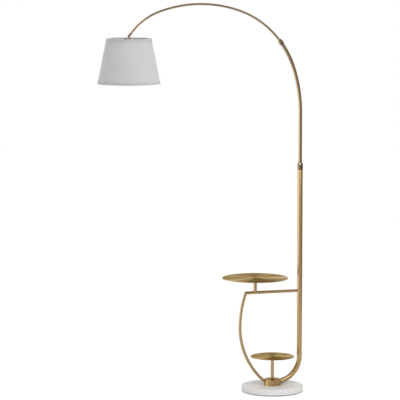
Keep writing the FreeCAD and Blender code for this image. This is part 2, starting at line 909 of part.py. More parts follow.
def mast_parts(last_turn):
    return [("line", size("lead_z") - size("mast_low")),
            ("bend", size("lead_radius"), size("lead_turn")),
            ("bend", size("guide_radius"), last_turn - size("lead_turn"))]


def make_mast():
    low = size("mast_low")
    keep(pipe("MastTube", size("pole_x"), low, 90, mast_parts(size("mast_turn")),
              size("mast_radius"), size("mast_bore")), "mast_tube")
    keep(pipe("MastWire", size("pole_x"), low, 90, mast_parts(size("mast_wire_turn")),
              size("mast_wire_radius")), "mast_wire")
    bush = ring("MastBush", size("bush_bore"), size("bush_radius"), size("bush_low"),
                size("bush_low") + size("bush_length"))
    place(bush, size("pole_x"), ZERO)
    keep(bush, "mast_bush")
    gap = size("stop_ring_gap")
    length = size("stop_ring_length")
    above = size("bush_low") + size("bush_length") + gap
    rings = []
    for bottom in (size("bush_low") - gap - length, above):
        stop = ring("StopRing%d" % (len(rings) + 1), size("mast_radius"),
                    size("stop_ring_radius"), bottom, bottom + length)
        place(stop, size("pole_x"), ZERO)
        rings.append(stop)
    group = doc.addObject("Part::Compound", "StopRings")
    group.Links = rings
    keep(group, "mast_stop_rings")


def make_height_ferrule():
    """The split clamp ring that the height collar squeezes onto the mast."""
    low = size("pole_top")
    bore = size("ferrule_bore")
    outer = size("ferrule_radius")
    length = size("ferrule_length")
    ferrule = turned("HeightFerrule", [
        (bore, low), (outer, low), (outer, low + size("ferrule_shoulder")),
        (outer - size("ferrule_taper"), low + length), (bore, low + length)])
    slit = size("ferrule_slit") / 2.0

    def draw_slit(sketch):
        past = outer + CUT_MARGIN
        polygon(sketch, [(ZERO, -slit), (past, -slit), (past, slit), (ZERO, slit)])

    cut(ferrule, "HeightFerruleSlit", draw_slit, "XY_Plane", midplane=True)
    place(ferrule, size("pole_x"), ZERO)
    keep(ferrule, "height_ferrule")


def make_height_collar():
    outer = size("collar_radius")
    bore = size("collar_bore")
    low = size("collar_low")
    shoulder = size("collar_shoulder")
    top = size("collar_top")
    chamfer = size("collar_chamfer")
    tip = size("collar_tip")
    mouth = size("collar_mouth")
    collar = turned("HeightCollar", [
        (bore, low), (outer - chamfer, low), (outer, low + chamfer), (outer, shoulder),
        (outer - size("collar_ease"), shoulder + size("collar_ease_length")),
        (tip, top - size("collar_tip_chamfer")), (tip - chamfer, top), (mouth, top),
        (mouth, top - size("collar_lip")), (bore, top - size("collar_seat"))])
    place(collar, size("pole_x"), ZERO)
    keep(collar, "height_collar")


def make_reach_collar():
    outer = size("reach_collar_radius")
    bore = size("reach_collar_bore")
    below = size("reach_collar_below")
    above = size("reach_collar_above")
    shoulder = size("reach_collar_shoulder")
    tip = size("reach_collar_tip")
    mouth = size("reach_collar_mouth")
    chamfer = size("collar_chamfer")
    collar = turned("ReachCollar", [
        (bore, -below), (outer - chamfer, -below), (outer, -below + chamfer), (outer, shoulder),
        (outer - size("collar_ease"), shoulder + size("reach_collar_ease_length")),
        (tip + chamfer, above - size("collar_tip_chamfer")), (tip, above), (mouth, above),
        (mouth, above - size("reach_collar_lip")), (bore, shoulder + size("reach_collar_seat"))])
    turn = size("reach_collar_turn")
    place(collar, *arch_point(turn), turn)
    keep(collar, "reach_collar")


def guide_ring(name, start_turn, length, outer, bore):
    """A short sleeve that follows the guide arc, from start_turn on."""
    sweep = length / size("guide_radius") * (180.0 / math.pi)
    body = pipe(name, ZERO, ZERO, 90, [("bend", size("guide_radius"), sweep)], outer, bore)
    place(body, *arch_point(start_turn), start_turn)
    return body


def make_reach_ferrule():
    keep(guide_ring("ReachFerrule", size("mast_turn"), size("reach_ferrule_length"),
                    size("reach_ferrule_radius"), size("reach_ferrule_bore")), "reach_ferrule")


# ---------------------------------------------------------------- arch and knuckle


def make_arch():
    start = size("arch_inner_turn")
    parts = [("bend", size("guide_radius"), size("guide_turn") - start),
             ("bend", size("crown_radius"), size("crown_turn") - size("guide_turn")),
             ("bend", size("drop_radius"), size("drop_turn") - size("crown_turn"))]
    for name, node, outer, bore in (("ArchTube", "arch_tube", "arch_radius", "arch_bore"),
                                    ("ArchWire", "arch_wire", "arch_wire_radius", None)):
        inner = None if bore is None else size(bore)
        run = parts
        if bore is None:
            run = parts[:2] + [("bend", size("drop_radius"), parts[2][2] - size("arch_wire_stop"))]
        tube = pipe(name, ZERO, ZERO, 90, run, size(outer), inner)
        place(tube, *arch_point(start), start)
        keep(tube, node)
    keep(guide_ring("ArchBush", start, size("arch_bush_length"), size("arch_bush_radius"),
                    size("arch_radius")), "arch_bush")


def make_knuckle_fork():
    """Made about the pivot with the arch's end along local +Z, then leaned into place."""
    reach = size("knuckle_reach")
    radius = size("ear_radius")
    half = size("arch_radius")
    slot = size("slot_width") / 2.0

    def ears(sketch):
        polygon(sketch, [(-half, reach), (-half, ZERO), (half, ZERO), (half, reach)])

    fork = padded("KnuckleFork", ears, "XZ_Plane", None, size("knuckle_width"), midplane=True)
    eye = new_sketch(fork, "KnuckleEye_outline", "XZ_Plane")
    circle(eye, radius)
    eye_pad = fork.newObject("PartDesign::Pad", "KnuckleEye")
    eye_pad.Profile = eye
    eye_pad.Midplane = True
    eye_pad.Length = size("knuckle_width").value
    eye_pad.setExpression("Length", size("knuckle_width").text)
    doc.recompute()
    add_pad(fork, "KnucklePlug", lambda s: circle(s, size("plug_radius")), "XY_Plane", reach,
            size("plug_length"))

    def slot_outline(sketch):
        reach_down = radius + CUT_MARGIN
        polygon(sketch, [(-slot, -reach_down), (slot, -reach_down),
                         (slot, size("slot_radius")), (-slot, size("slot_radius"))])

    cut(fork, "KnuckleSlot", slot_outline, "YZ_Plane", midplane=True)
    cut(fork, "KnuckleHole", lambda s: circle(s, size("pivot_radius")), "XZ_Plane",
        midplane=True)
    lean = size("drop_turn") + 180.0
    place(fork, pivot_x, pivot_z, lean)
    keep(fork, "knuckle_fork")


def across_knuckle(body):
    """Stand a turned piece along +Y through the pivot."""
    body.Placement = FreeCAD.Placement(FreeCAD.Vector(pivot_x.value, 0, pivot_z.value),
                                       FreeCAD.Rotation(FreeCAD.Vector(1, 0, 0), -90))
    body.setExpression("Placement.Base.x", pivot_x.text)
    body.setExpression("Placement.Base.z", pivot_z.text)
    doc.recompute()


def make_pivot_screw():
    half = size("knuckle_width") / 2.0
    shank = size("pivot_radius")
    head = size("screw_head_radius")
    head_end = -half - size("screw_head_length")
    edge = size("screw_head_edge")
    reach = half + size("screw_reach")
    screw = turned("KnuckleScrew", [
        (ZERO, head_end), (head - edge, head_end), (head, head_end + edge), (head, -half),
        (shank, -half), (shank, reach), (ZERO, reach)])

    def slot(sketch):
        side = size("screw_slot_half")
        polygon(sketch, [(-head, -side), (head, -side), (head, side), (-head, side)])

    depth = size("screw_slot_depth")
    cut(screw, "KnuckleScrewSlot", slot, "XY_Plane", head_end + depth, depth)
    across_knuckle(screw)
    keep(screw, "knuckle_screw")
    nut_end = half + size("cap_nut_length")
    outer = size("cap_nut_radius")
    dome = size("cap_nut_dome")
    nut = turned("KnuckleNut", [
        (shank, half), (outer, half), (outer, half + size("cap_nut_side")),
        (outer - dome * 2.0, nut_end - dome), (shank - dome, nut_end), (ZERO, nut_end),
        (ZERO, reach), (shank, reach)])
    across_knuckle(nut)
    keep(nut, "knuckle_nut")


# ---------------------------------------------------------------- lamp head


def hang(name, node, points):
    """A turned piece of the head: outline given as (radius, distance below the pivot)."""
    body = turned(name, [(radius, -as_size(drop)) for radius, drop in points])
    place(body, pivot_x, pivot_z)
    return keep(body, node)


def make_tilt_rod():
    shoulder = size("rod_shoulder")
    end = size("rod_end")
    width = size("tongue_width")
    rod = padded("TiltRod", lambda s: circle(s, size("tongue_radius")), "XZ_Plane", None, width,
                 midplane=True)
    neck = new_sketch(rod, "TiltNeck_outline", "XZ_Plane")
    half = size("rod_neck_half")
    polygon(neck, [(-half, -shoulder), (half, -shoulder), (half, ZERO), (-half, ZERO)])
    neck_pad = rod.newObject("PartDesign::Pad", "TiltNeck")
    neck_pad.Profile = neck
    neck_pad.Midplane = True
    neck_pad.Length = width.value
    neck_pad.setExpression("Length", width.text)
    doc.recompute()
    add_pad(rod, "TiltShank", lambda s: circle(s, size("rod_radius")), "XY_Plane", -shoulder,
            end - shoulder, reverse=True)
    cut(rod, "TiltHole", lambda s: circle(s, size("pivot_hole")), "XZ_Plane", midplane=True)
    place(rod, pivot_x, pivot_z)
    keep(rod, "tilt_rod")


def make_lampholder():
    top = size("holder_top")
    flange = size("holder_flange_radius")
    edge = size("holder_edge")
    under = size("shade_drop")
    outer = size("holder_radius")
    bore = size("holder_bore")
    rod = size("rod_radius")
    hang("Lampholder", "lampholder", [
        (rod, top), (flange - edge, top), (flange, top + edge), (flange, under), (outer, under),
        (outer, size("holder_end")), (bore, size("holder_end")), (bore, size("holder_roof")),
        (rod, size("holder_roof"))])
    roof = size("holder_roof")
    shell = size("shell_radius")
    shell_bore = size("shell_bore")
    shell_hole = size("shell_hole")
    shell_floor = roof + size("shell_floor")
    hang("SocketShell", "socket_shell", [
        (shell_hole, roof), (shell, roof), (shell, size("shell_end")),
        (shell_bore, size("shell_end")), (shell_bore, shell_floor), (shell_hole, shell_floor)])
    contact = size("contact_radius")
    contact_end = roof + size("contact_height")
    hang("SocketContact", "socket_contact", [
        (ZERO, roof), (contact, roof), (contact - size("contact_edge"), contact_end),
        (ZERO, contact_end)])
    under_fitter = under + size("fitter_height")
    nut = size("ring_nut_radius")
    nut_edge = size("ring_nut_edge")
    nut_end = under_fitter + size("ring_nut_height")
    hang("RingNut", "shade_ring_nut", [
        (outer, under_fitter), (nut, under_fitter), (nut, under_fitter + nut_edge),
        (nut - nut_edge, nut_end), (outer, nut_end)])


def make_bulb():
    cap = size("bulb_cap_radius")
    top = size("bulb_cap_top")
    cap_end = size("bulb_cap_end")
    neck = size("bulb_neck_radius")
    neck_end = size("bulb_neck_end")
    globe = size("bulb_radius")
    end = size("bulb_end")
    tip = size("bulb_tip_radius")
    tip_top = top - size("bulb_tip_height")
    hang("BulbCap", "bulb_cap", [
        (ZERO, tip_top), (tip, tip_top), (tip, top),
        (cap - size("bulb_cap_slope"), top + size("bulb_cap_lead")),
        (cap, top + size("bulb_cap_shoulder")), (cap, cap_end), (ZERO, cap_end)])
    hang("BulbNeck", "bulb_neck", [
        (ZERO, cap_end), (cap + size("bulb_neck_step"), cap_end),
        (neck, cap_end + size("bulb_neck_flare")), (size("bulb_collar_radius"), neck_end),
        (ZERO, neck_end)])
    body = new_body("BulbGlobe")
    outline = new_sketch(body, "BulbGlobe_outline", "XZ_Plane")
    centre = -(end - globe)
    inner = globe - size("bulb_skin")
    reach = end - globe - neck_end
    rims = []
    for radius in (globe, inner):
        rim = root(radius * radius - reach * reach)
        start = math.atan2(reach.value, rim.value)
        full = Part.Circle(flat(0, centre.value), FreeCAD.Vector(0, 0, 1), radius.value)
        outline.addGeometry(Part.ArcOfCircle(full, -math.pi / 2, start), False)
        rims.append(rim)
    mouth = [flat(rim.value, -neck_end.value) for rim in rims]
    low = [flat(0, centre.value - radius.value) for radius in (globe, inner)]
    outline.addGeometry(Part.LineSegment(mouth[0], mouth[1]), False)
    outline.addGeometry(Part.LineSegment(low[1], low[0]), False)
    for first, second in (((0, 2), (2, 1)), ((2, 2), (1, 2)), ((1, 1), (3, 1)), ((3, 2), (0, 1))):
        outline.addConstraint(Sketcher.Constraint("Coincident", *first, *second))
    outline.addConstraint(Sketcher.Constraint("Horizontal", 2))
    outline.addConstraint(Sketcher.Constraint("Coincident", 0, 3, 1, 3))
    pin_point(outline, 0, 3, ZERO, centre)
    bind(outline, "Radius", 0, globe)
    bind(outline, "Radius", 1, inner)
    bind(outline, "DistanceY", -1, 1, 2, 1, -neck_end)
    outline.addConstraint(Sketcher.Constraint("PointOnObject", 0, 1, -2))
    outline.addConstraint(Sketcher.Constraint("PointOnObject", 1, 1, -2))
    feature = body.newObject("PartDesign::Revolution", "BulbGlobe_turned")
    feature.Profile = outline
    feature.ReferenceAxis = (outline, ["V_Axis"])
    feature.Angle = 360.0
    doc.recompute()
    place(body, pivot_x, pivot_z)
    keep(body, "bulb_globe")


def shade_radius(depth):
    """The shade's outer radius at a depth below its top edge."""
    spread = size("shade_low_radius") - size("shade_top_radius")
    return size("shade_top_radius") + spread * (as_size(depth) / size("shade_height"))


FITTER_ARM_STEP = 120.0
FITTER_ARM_START = 30.0


def make_shade_fitter():
    """The top frame of the shade: a centre ring, three wire arms and the rim wire."""
    wire = size("fitter_wire")
    level = size("shade_drop") + size("fitter_height") / 2.0
    lining = size("shade_skin") + size("trim_skin") + size("wire_play")
    rim = size("shade_top_radius") - lining - wire
    centre = doc.addObject("Part::Cylinder", "FitterDisc")
    centre.setExpression("Radius", size("fitter_radius").text)
    centre.setExpression("Height", size("fitter_height").text)
    hole = doc.addObject("Part::Cylinder", "FitterHole")
    hole.setExpression("Radius", size("holder_radius").text)
    hole.setExpression("Height", size("fitter_height").text)
    plate = doc.addObject("Part::Cut", "FitterPlate")
    plate.Base = centre
    plate.Tool = hole
    place(plate, ZERO, -(size("shade_drop") + size("fitter_height")))
    rim_wire = doc.addObject("Part::Torus", "FitterRim")
    rim_wire.setExpression("Radius1", rim.text)
    rim_wire.setExpression("Radius2", wire.text)
    place(rim_wire, ZERO, -level)
    pieces = [plate, rim_wire]
    for index in range(3):
        arm = doc.addObject("Part::Cylinder", "FitterArm%d" % (index + 1))
        inner = size("fitter_radius") - size("fitter_arm_overlap")
        arm.setExpression("Radius", size("fitter_arm_radius").text)
        arm.setExpression("Height", (rim - inner).text)
        turn = math.radians(FITTER_ARM_STEP * index + FITTER_ARM_START)
        ahead = FreeCAD.Vector(math.cos(turn), math.sin(turn), 0)
        arm.Placement = FreeCAD.Placement(ahead * inner.value,
                                          FreeCAD.Rotation(FreeCAD.Vector(0, 0, 1), ahead))
        arm.setExpression("Placement.Base.x", "%s * %r" % (inner.text, ahead.x))
        arm.setExpression("Placement.Base.y", "%s * %r" % (inner.text, ahead.y))
        arm.setExpression("Placement.Base.z", (-level).text)
        pieces.append(arm)
    fitter = doc.addObject("Part::MultiFuse", "ShadeFitter")
    fitter.Shapes = pieces
    doc.recompute()
    place(fitter, pivot_x, pivot_z)
    keep(fitter, "shade_fitter")


def make_shade():
    drop = size("shade_drop")
    height = size("shade_height")
    skin = size("shade_skin")
    trim = size("trim_skin")
    band = size("trim_height")
    low = height - trim
    hang("ShadeShell", "shade_shell", [
        (shade_radius(trim) - skin, drop + trim), (shade_radius(trim), drop + trim),
        (shade_radius(low), drop + low), (shade_radius(low) - skin, drop + low)])

    def wrap(edge, shell_edge, far):
        """The hem tape folded over an edge of the shell, as an outline."""
        outside = shade_radius(shell_edge)
        return [
            (shade_radius(edge) - skin - trim, drop + edge), (shade_radius(edge) + trim, drop + edge),
            (shade_radius(far) + trim, drop + far), (shade_radius(far), drop + far),
            (outside, drop + shell_edge), (outside - skin, drop + shell_edge),
            (shade_radius(far) - skin, drop + far), (shade_radius(far) - skin - trim, drop + far)]

    hang("ShadeTopTrim", "shade_top_trim", wrap(ZERO, trim, band))
    hang("ShadeLowTrim", "shade_bottom_trim", wrap(height, low, height - band))
    wire = size("fitter_wire")
    rim = doc.addObject("Part::Torus", "ShadeLowWire")
    depth = height - size("low_wire_rise")
    lining = skin + trim + size("wire_play")
    rim.setExpression("Radius1", (shade_radius(depth) - lining - wire).text)
    rim.setExpression("Radius2", wire.text)
    place(rim, pivot_x, pivot_z - drop - depth)
    keep(rim, "shade_bottom_wire")


# ---------------------------------------------------------------- build, check and write

make_pad()
make_marble()
make_foot_fasteners()
make_gland()
make_hub()
make_lower_pole()
make_pole_wire()
make_strut()
make_bar()
make_stems()
make_tray("UpperTray", "upper_tray", size("upper_tray_radius"), size("upper_tray_top"),
          size("upper_tray_x"))
make_tray("LowerTray", "lower_tray", size("lower_tray_radius"), size("lower_tray_top"), ZERO)
make_height_ferrule()
make_height_collar()
make_mast()
make_reach_ferrule()
make_reach_collar()
make_arch()
make_knuckle_fork()
make_pivot_screw()
make_tilt_rod()
make_lampholder()
make_shade_fitter()
make_bulb()
make_shade()
doc.recompute()

for item in doc.Objects:
    if "Invalid" in item.State or "Error" in item.State:
        raise ValueError("not built: %s %s" % (item.Name, item.State))
for item in nodes:
    if item.Shape.isNull() or not item.Shape.isValid() or not item.Shape.Solids:
        raise ValueError("no good solid: " + item.Label)

os.makedirs("parts", exist_ok=True)
for item in nodes:
    item.Shape.exportStep("parts/%s.step" % item.Label)
print("%d nodes" % len(nodes))
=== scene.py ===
import math

import bmesh
import bpy
from mathutils import Matrix, Vector


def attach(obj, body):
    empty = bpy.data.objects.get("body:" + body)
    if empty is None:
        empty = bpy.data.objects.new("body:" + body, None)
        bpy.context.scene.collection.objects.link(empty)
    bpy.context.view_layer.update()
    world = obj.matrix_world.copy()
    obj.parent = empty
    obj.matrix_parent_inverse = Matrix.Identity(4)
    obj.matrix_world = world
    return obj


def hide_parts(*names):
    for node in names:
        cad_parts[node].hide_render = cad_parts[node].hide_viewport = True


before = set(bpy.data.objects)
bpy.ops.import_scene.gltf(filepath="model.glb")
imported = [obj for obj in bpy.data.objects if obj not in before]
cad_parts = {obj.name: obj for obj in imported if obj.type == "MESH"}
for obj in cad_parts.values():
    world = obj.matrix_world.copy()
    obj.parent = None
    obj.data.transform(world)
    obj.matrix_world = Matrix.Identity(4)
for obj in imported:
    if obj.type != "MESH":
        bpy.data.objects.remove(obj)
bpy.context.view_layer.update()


scene = bpy.context.scene
scene.view_settings.view_transform = "Standard"
scene.view_settings.look = "None"

# ---------------------------------------------------------------- the lamp's places and sizes

# All in metres. X runs along the lamp's own plane, towards the pole, and Z is up.
PIVOT = Vector((-0.676668, 0.0, 1.630674))     # the knuckle's screw, on the shade's axis
GUIDE_CENTRE = (-0.298024, 0.0, 1.342759)      # centre of the arc that the arm slides on
POLE_X = 0.1305
UPPER_TRAY_X = -0.084
STRUT_X = -0.156
BAR_Z = 0.458
HEIGHT_COLLAR = Vector((POLE_X, 0.0, 1.041))
REACH_COLLAR = Vector((0.039, 0.0, 1.607))
ABOVE_POLE = Vector((POLE_X, 0.0, 1.62))
ARM_TAIL = Vector((-0.600, 0.0, 1.690))
HUB_MIDDLE = Vector((0.0, 0.0, 0.045))
FOOT_MIDDLE = Vector((0.0, 0.0, 0.015))
POLE_BEND = Vector((0.09, 0.0, 0.10))
TABLE_HEIGHT = 0.5
LAMP_MIDDLE = Vector((-0.25, 0.0, 0.9))

SHADE_TOP = PIVOT.z - 0.011
SHADE_HEIGHT = 0.200
SHADE_TOP_RADIUS = 0.100
SHADE_LOW_RADIUS = 0.140
SHADE_SLOPE = (SHADE_LOW_RADIUS - SHADE_TOP_RADIUS) / SHADE_HEIGHT
SHADE_SKIN = 0.0012

# ---------------------------------------------------------------- view

# The camera's place and aim, as solved from the photograph with the lamp's own sizes.
VIEW_AZIMUTH = math.radians(19.318)
VIEW_AIM = math.radians(1.6544)
VIEW_PITCH = math.radians(6.4626)
VIEW_DISTANCE = 11.4462
VIEW_HEIGHT = 2.17421
LENS = 228.638
SENSOR = 36.0
RISE = Vector((0.0, 0.0, 1.0))


def view_axes():
    """The camera's place and its right, up and forward directions."""
    turn = -VIEW_AZIMUTH
    place = Vector((math.sin(turn) * VIEW_DISTANCE, -math.cos(turn) * VIEW_DISTANCE, VIEW_HEIGHT))
    level = Vector((-math.sin(turn), math.cos(turn), 0.0))
    side = Vector((math.cos(turn), math.sin(turn), 0.0))
    ahead = level * math.cos(VIEW_AIM) - side * math.sin(VIEW_AIM)
    right = side * math.cos(VIEW_AIM) + level * math.sin(VIEW_AIM)
    forward = ahead * math.cos(VIEW_PITCH) - RISE * math.sin(VIEW_PITCH)
    up = ahead * math.sin(VIEW_PITCH) + RISE * math.cos(VIEW_PITCH)
    return place, right, up, forward


VIEW_PLACE, VIEW_SIDE, VIEW_UP, VIEW_FORWARD = view_axes()
# The photographer's left, and the level direction from the lamp to the photographer.
LEFT = -VIEW_SIDE
FRONT = Vector((-VIEW_FORWARD.x, -VIEW_FORWARD.y, 0.0)).normalized()


def add_camera():
    """The photograph's own camera."""
    data = bpy.data.cameras.new("camera")
    data.sensor_fit = "HORIZONTAL"
    data.sensor_width = SENSOR
    data.lens = LENS
    data.clip_end = 100.0
    camera = bpy.data.objects.new("camera", data)
    turn = Matrix((VIEW_SIDE, VIEW_UP, -VIEW_FORWARD)).transposed()
    camera.matrix_world = Matrix.Translation(VIEW_PLACE) @ turn.to_4x4()
    scene.collection.objects.link(camera)
    scene.camera = camera


# ---------------------------------------------------------------- node graphs


class Graph:
    """Short ways to wire a shader's nodes."""

    def __init__(self, tree):
        self.tree = tree
        tree.nodes.clear()

    def node(self, kind, **settings):
        made = self.tree.nodes.new(kind)
        for name, value in settings.items():
            setattr(made, name, value)
        return made

    def feed(self, node, name, value):
        """Link a socket, or set a plain value on the node's input."""
        target = node.inputs[name]
        if isinstance(value, bpy.types.NodeSocket):
            self.tree.links.new(value, target)
        else:
            target.default_value = value

    def math(self, operation, first, second=0.0, clamp=False):
        made = self.node("ShaderNodeMath", operation=operation, use_clamp=clamp)
        self.feed(made, 0, first)
        self.feed(made, 1, second)
        return made.outputs[0]

    def times(self, first, second):
        return self.math("MULTIPLY", first, second)

    def plus(self, first, second):
        return self.math("ADD", first, second)

    def centred(self, value):
        """A noise's value, moved so that its middle is 0."""
        return self.math("SUBTRACT", value, 0.5)

    def dot(self, vector, direction):
        made = self.node("ShaderNodeVectorMath", operation="DOT_PRODUCT")
        self.feed(made, 0, vector)
        self.feed(made, 1, tuple(direction))
        return made.outputs["Value"]

    def combine(self, x, y, z):
        made = self.node("ShaderNodeCombineXYZ")
        for index, value in enumerate((x, y, z)):
            self.feed(made, index, value)
        return made.outputs[0]

    def coordinates(self, centre=(0.0, 0.0, 0.0)):
        """The piece's own x, y and z in metres, measured from centre."""
        source = self.node("ShaderNodeTexCoord").outputs["Object"]
        moved = self.node("ShaderNodeVectorMath", operation="SUBTRACT")
        self.feed(moved, 0, source)
        self.feed(moved, 1, tuple(centre))
        parts = self.node("ShaderNodeSeparateXYZ")
        self.feed(parts, 0, moved.outputs[0])
        return parts.outputs[0], parts.outputs[1], parts.outputs[2]

    def length(self, first, second):
        squares = self.plus(self.times(first, first), self.times(second, second))
        return self.math("SQRT", squares)

    def noise(self, vector, scale, detail=3.0, roughness=0.5, distortion=0.0):
        made = self.node("ShaderNodeTexNoise")
        self.feed(made, "Vector", vector)
        self.feed(made, "Scale", scale)
        self.feed(made, "Detail", detail)
        self.feed(made, "Roughness", roughness)
        self.feed(made, "Distortion", distortion)
        return made.outputs[0]

    def ramp(self, factor, stops, interpolation="LINEAR"):
        """A colour ramp; each stop is a place with a colour, or with one number for a grey."""
        made = self.node("ShaderNodeValToRGB")
        made.color_ramp.interpolation = interpolation
        elements = made.color_ramp.elements
        for index, (place, colour) in enumerate(stops):
            if index < len(elements):
                element = elements[index]
                element.position = place
            else:
                element = elements.new(place)
            if isinstance(colour, (int, float)):
                colour = grey(colour)
            element.color = (*colour, 1.0)
        self.feed(made, 0, factor)
        return made.outputs[0]

    def mix(self, factor, first, second):
        made = self.node("ShaderNodeMix", data_type="RGBA", blend_type="MIX")
        self.feed(made, 0, factor)
        for name, value in (("A", first), ("B", second)):
            target = next(s for s in made.inputs if s.name == name and s.type == "RGBA")
            if isinstance(value, bpy.types.NodeSocket):
                self.tree.links.new(value, target)
            else:
                target.default_value = (*value, 1.0)
        return next(s for s in made.outputs if s.type == "RGBA")

    def span(self, value, low, high, new_low, new_high):
        """Map low to high onto new_low to new_high, and hold the ends beyond."""
        made = self.node("ShaderNodeMapRange")
        for index, number in enumerate((value, low, high, new_low, new_high)):
            self.feed(made, index, number)
        return made.outputs[0]

    def spread(self, noise, new_low, new_high):
        """Map the part of a noise's range that it mostly keeps to."""
        return self.span(noise, 0.3, 0.7, new_low, new_high)

    def bump(self, height, strength, distance):
        made = self.node("ShaderNodeBump")
        self.feed(made, "Strength", strength)
        self.feed(made, "Distance", distance)
        self.feed(made, "Height", height)
        return made.outputs[0]

    def light_path(self):
        """The light path's outputs, and 1 for what the eye sees, also through glass."""
        path = self.node("ShaderNodeLightPath").outputs
        eye = self.math("MAXIMUM", path["Is Camera Ray"], path["Is Transmission Ray"])
        return path, eye


def grey(level):
    return (level, level, level)


def material(name):
    """A new material with a Principled shader, as (material, graph, shader)."""
    made = bpy.data.materials.new(name)
    made.use_nodes = True
    graph = Graph(made.node_tree)
    shader = graph.node("ShaderNodeBsdfPrincipled")
    output = graph.node("ShaderNodeOutputMaterial")
    graph.tree.links.new(shader.outputs[0], output.inputs[0])
    return made, graph, shader


# ---------------------------------------------------------------- metals

# Tones are (base, deep, pale).
BRASS_DEEP = (0.370, 0.240, 0.092)
BRASS_TONES = ((0.470, 0.315, 0.130), BRASS_DEEP, (0.540, 0.375, 0.170))
MAST_TONES = ((0.390, 0.270, 0.140), (0.300, 0.200, 0.096), (0.450, 0.328, 0.185))
KNUCKLE_TONES = ((0.500, 0.385, 0.215), (0.380, 0.280, 0.145), (0.600, 0.480, 0.300))
ROD_TONES = ((0.620, 0.460, 0.220), BRASS_TONES[0], KNUCKLE_TONES[2])
SOCKET_TONES = ((0.72, 0.55, 0.30), BRASS_TONES[0], BRASS_TONES[2])
AGED_TONES = ((0.235, 0.163, 0.074), (0.135, 0.090, 0.039), (0.320, 0.232, 0.112))

HAIRLINE_SHARE = 0.24       # how far the brush marks change the colour
WEAR_SHARE = 0.30           # how far the slow cloud darkens it
STREAK_GLOSS = 0.025        # change of roughness from one brush mark to the next
SMEAR_GLOSS = (-0.02, 0.03)
MARK_DEPTH = 0.00003
FINE_MARKS = 2600.0         # brush marks in a metre
LATHE_MARKS = 2400.0
LONG_MARKS = 60.0           # changes in a metre along one mark
ROUND_MARKS = 1.3           # changes in a radian along one mark of a turned piece
ARC_REACH = 0.4             # rough radius of the arch, which turns an angle into a length
COAT_ROUGHNESS = 0.16
COAT_IOR = 1.5
ACROSS_MARKS = 0.25         # a quarter turn, as the shader counts it


def finish_metal(graph, shader, tones, hairline, cloud, roughness, strength, lacquer=1.0):
    """Colour, roughness and bump of brushed, lacquered metal from a hairline and a slow cloud."""
    base, deep, pale = tones
    tone = graph.ramp(hairline, [(0.25, deep), (0.5, base), (0.8, pale)])
    toned = graph.mix(HAIRLINE_SHARE, base, tone)
    worn = graph.mix(graph.span(cloud, 0.40, 0.80, 0.0, WEAR_SHARE), toned, deep)
    streak = graph.span(hairline, 0.2, 0.8, roughness - STREAK_GLOSS, roughness + STREAK_GLOSS)
    graph.feed(shader, "Base Color", worn)
    graph.feed(shader, "Metallic", 1.0)
    graph.feed(shader, "Roughness", graph.plus(streak, graph.spread(cloud, *SMEAR_GLOSS)))
    graph.feed(shader, "Normal", graph.bump(hairline, strength, MARK_DEPTH))
    shader.inputs["Coat Weight"].default_value = lacquer
    shader.inputs["Coat Roughness"].default_value = COAT_ROUGHNESS
    shader.inputs["Coat IOR"].default_value = COAT_IOR


def tube_brass(name, centre, along, tones=BRASS_TONES, roughness=0.26):
    """Satin tube; along says how its marks are counted: up z, or as an arc round centre."""
    made, graph, shader = material(name)
    x, y, z = graph.coordinates(centre)
    if along == "z":
        run, depth = z, x
    else:
        run, depth = graph.times(graph.math("ARCTAN2", z, x), ARC_REACH), 0.0
    grain = graph.combine(graph.times(run, FINE_MARKS), graph.times(y, LONG_MARKS),
                          graph.times(depth, LONG_MARKS))
    hairline = graph.noise(grain, scale=1.0, detail=2.0, roughness=0.6)
    cloud = graph.noise(graph.combine(x, y, z), scale=19.0, detail=4.0, roughness=0.55)
    finish_metal(graph, shader, tones, hairline, cloud, roughness, strength=0.05)
    return made


def turned_brass(name, centre, tones=BRASS_TONES, roughness=0.30, anisotropy=0.0, lacquer=1.0,
                 edge=None):
    """Metal with a lathe's circular marks; edge tints what it mirrors at a grazing angle."""
    made, graph, shader = material(name)
    x, y, z = graph.coordinates(centre)
    radius = graph.length(x, y)
    angle = graph.math("ARCTAN2", y, x)
    grain = graph.combine(graph.times(radius, LATHE_MARKS), graph.times(z, LATHE_MARKS),
                          graph.times(angle, ROUND_MARKS))
    hairline = graph.noise(grain, scale=1.0, detail=3.0, roughness=0.65)
    cloud = graph.noise(graph.combine(x, y, z), scale=22.0, detail=3.0, roughness=0.5)
    finish_metal(graph, shader, tones, hairline, cloud, roughness, 0.06, lacquer)
    if edge is not None:
        shader.inputs["Specular Tint"].default_value = (*edge, 1.0)
    if anisotropy > 0.0:
        spin(graph, shader, anisotropy)
    return made


def spin(graph, shader, anisotropy):
    """Stretch the gloss across the circular marks."""
    graph.feed(shader, "Anisotropic", anisotropy)
    graph.feed(shader, "Anisotropic Rotation", ACROSS_MARKS)
    tangent = graph.node("ShaderNodeTangent", direction_type="RADIAL", axis="Z")
    graph.feed(shader, "Tangent", tangent.outputs[0])


# Painted reflection: how bright the spun face of a tray is from one spoke to the next, once round,
# counted from the camera's right by way of the far side. The fan is fixed to the tray.
PAINTED_SPOKES = [(0.000, 0.93), (0.035, 0.80), (0.080, 0.36), (0.160, 0.60), (0.250, 0.34),
          (0.345, 0.50), (0.425, 0.62), (0.500, 0.44), (0.545, 0.42), (0.610, 0.80),
          (0.675, 0.42), (0.745, 0.12), (0.825, 0.16), (0.900, 0.46), (0.965, 0.62),
          (0.990, 0.90)]
# The tray's colours, and below them its grazing tint, over the painted fan mixed with random
# radial grain.
TRAY_GRAIN_AND_SHEEN = [(0.22, (0.29, 0.183, 0.074)), (0.52, (0.49, 0.347, 0.153)),
             (0.92, (0.78, 0.615, 0.360))]
TRAY_GRAZING_GRAIN_AND_SHEEN = [(0.22, (0.40, 0.300, 0.165)), (0.52, (0.70, 0.570, 0.350)),
                (0.92, (1.00, 0.900, 0.660))]
TRAY_EYE = 0.0005           # radius of the spot in the middle where the fan has no direction
FAN_SHIVER = 0.10
FAN_SHARE = 0.80
RAY_SHARE = 0.34
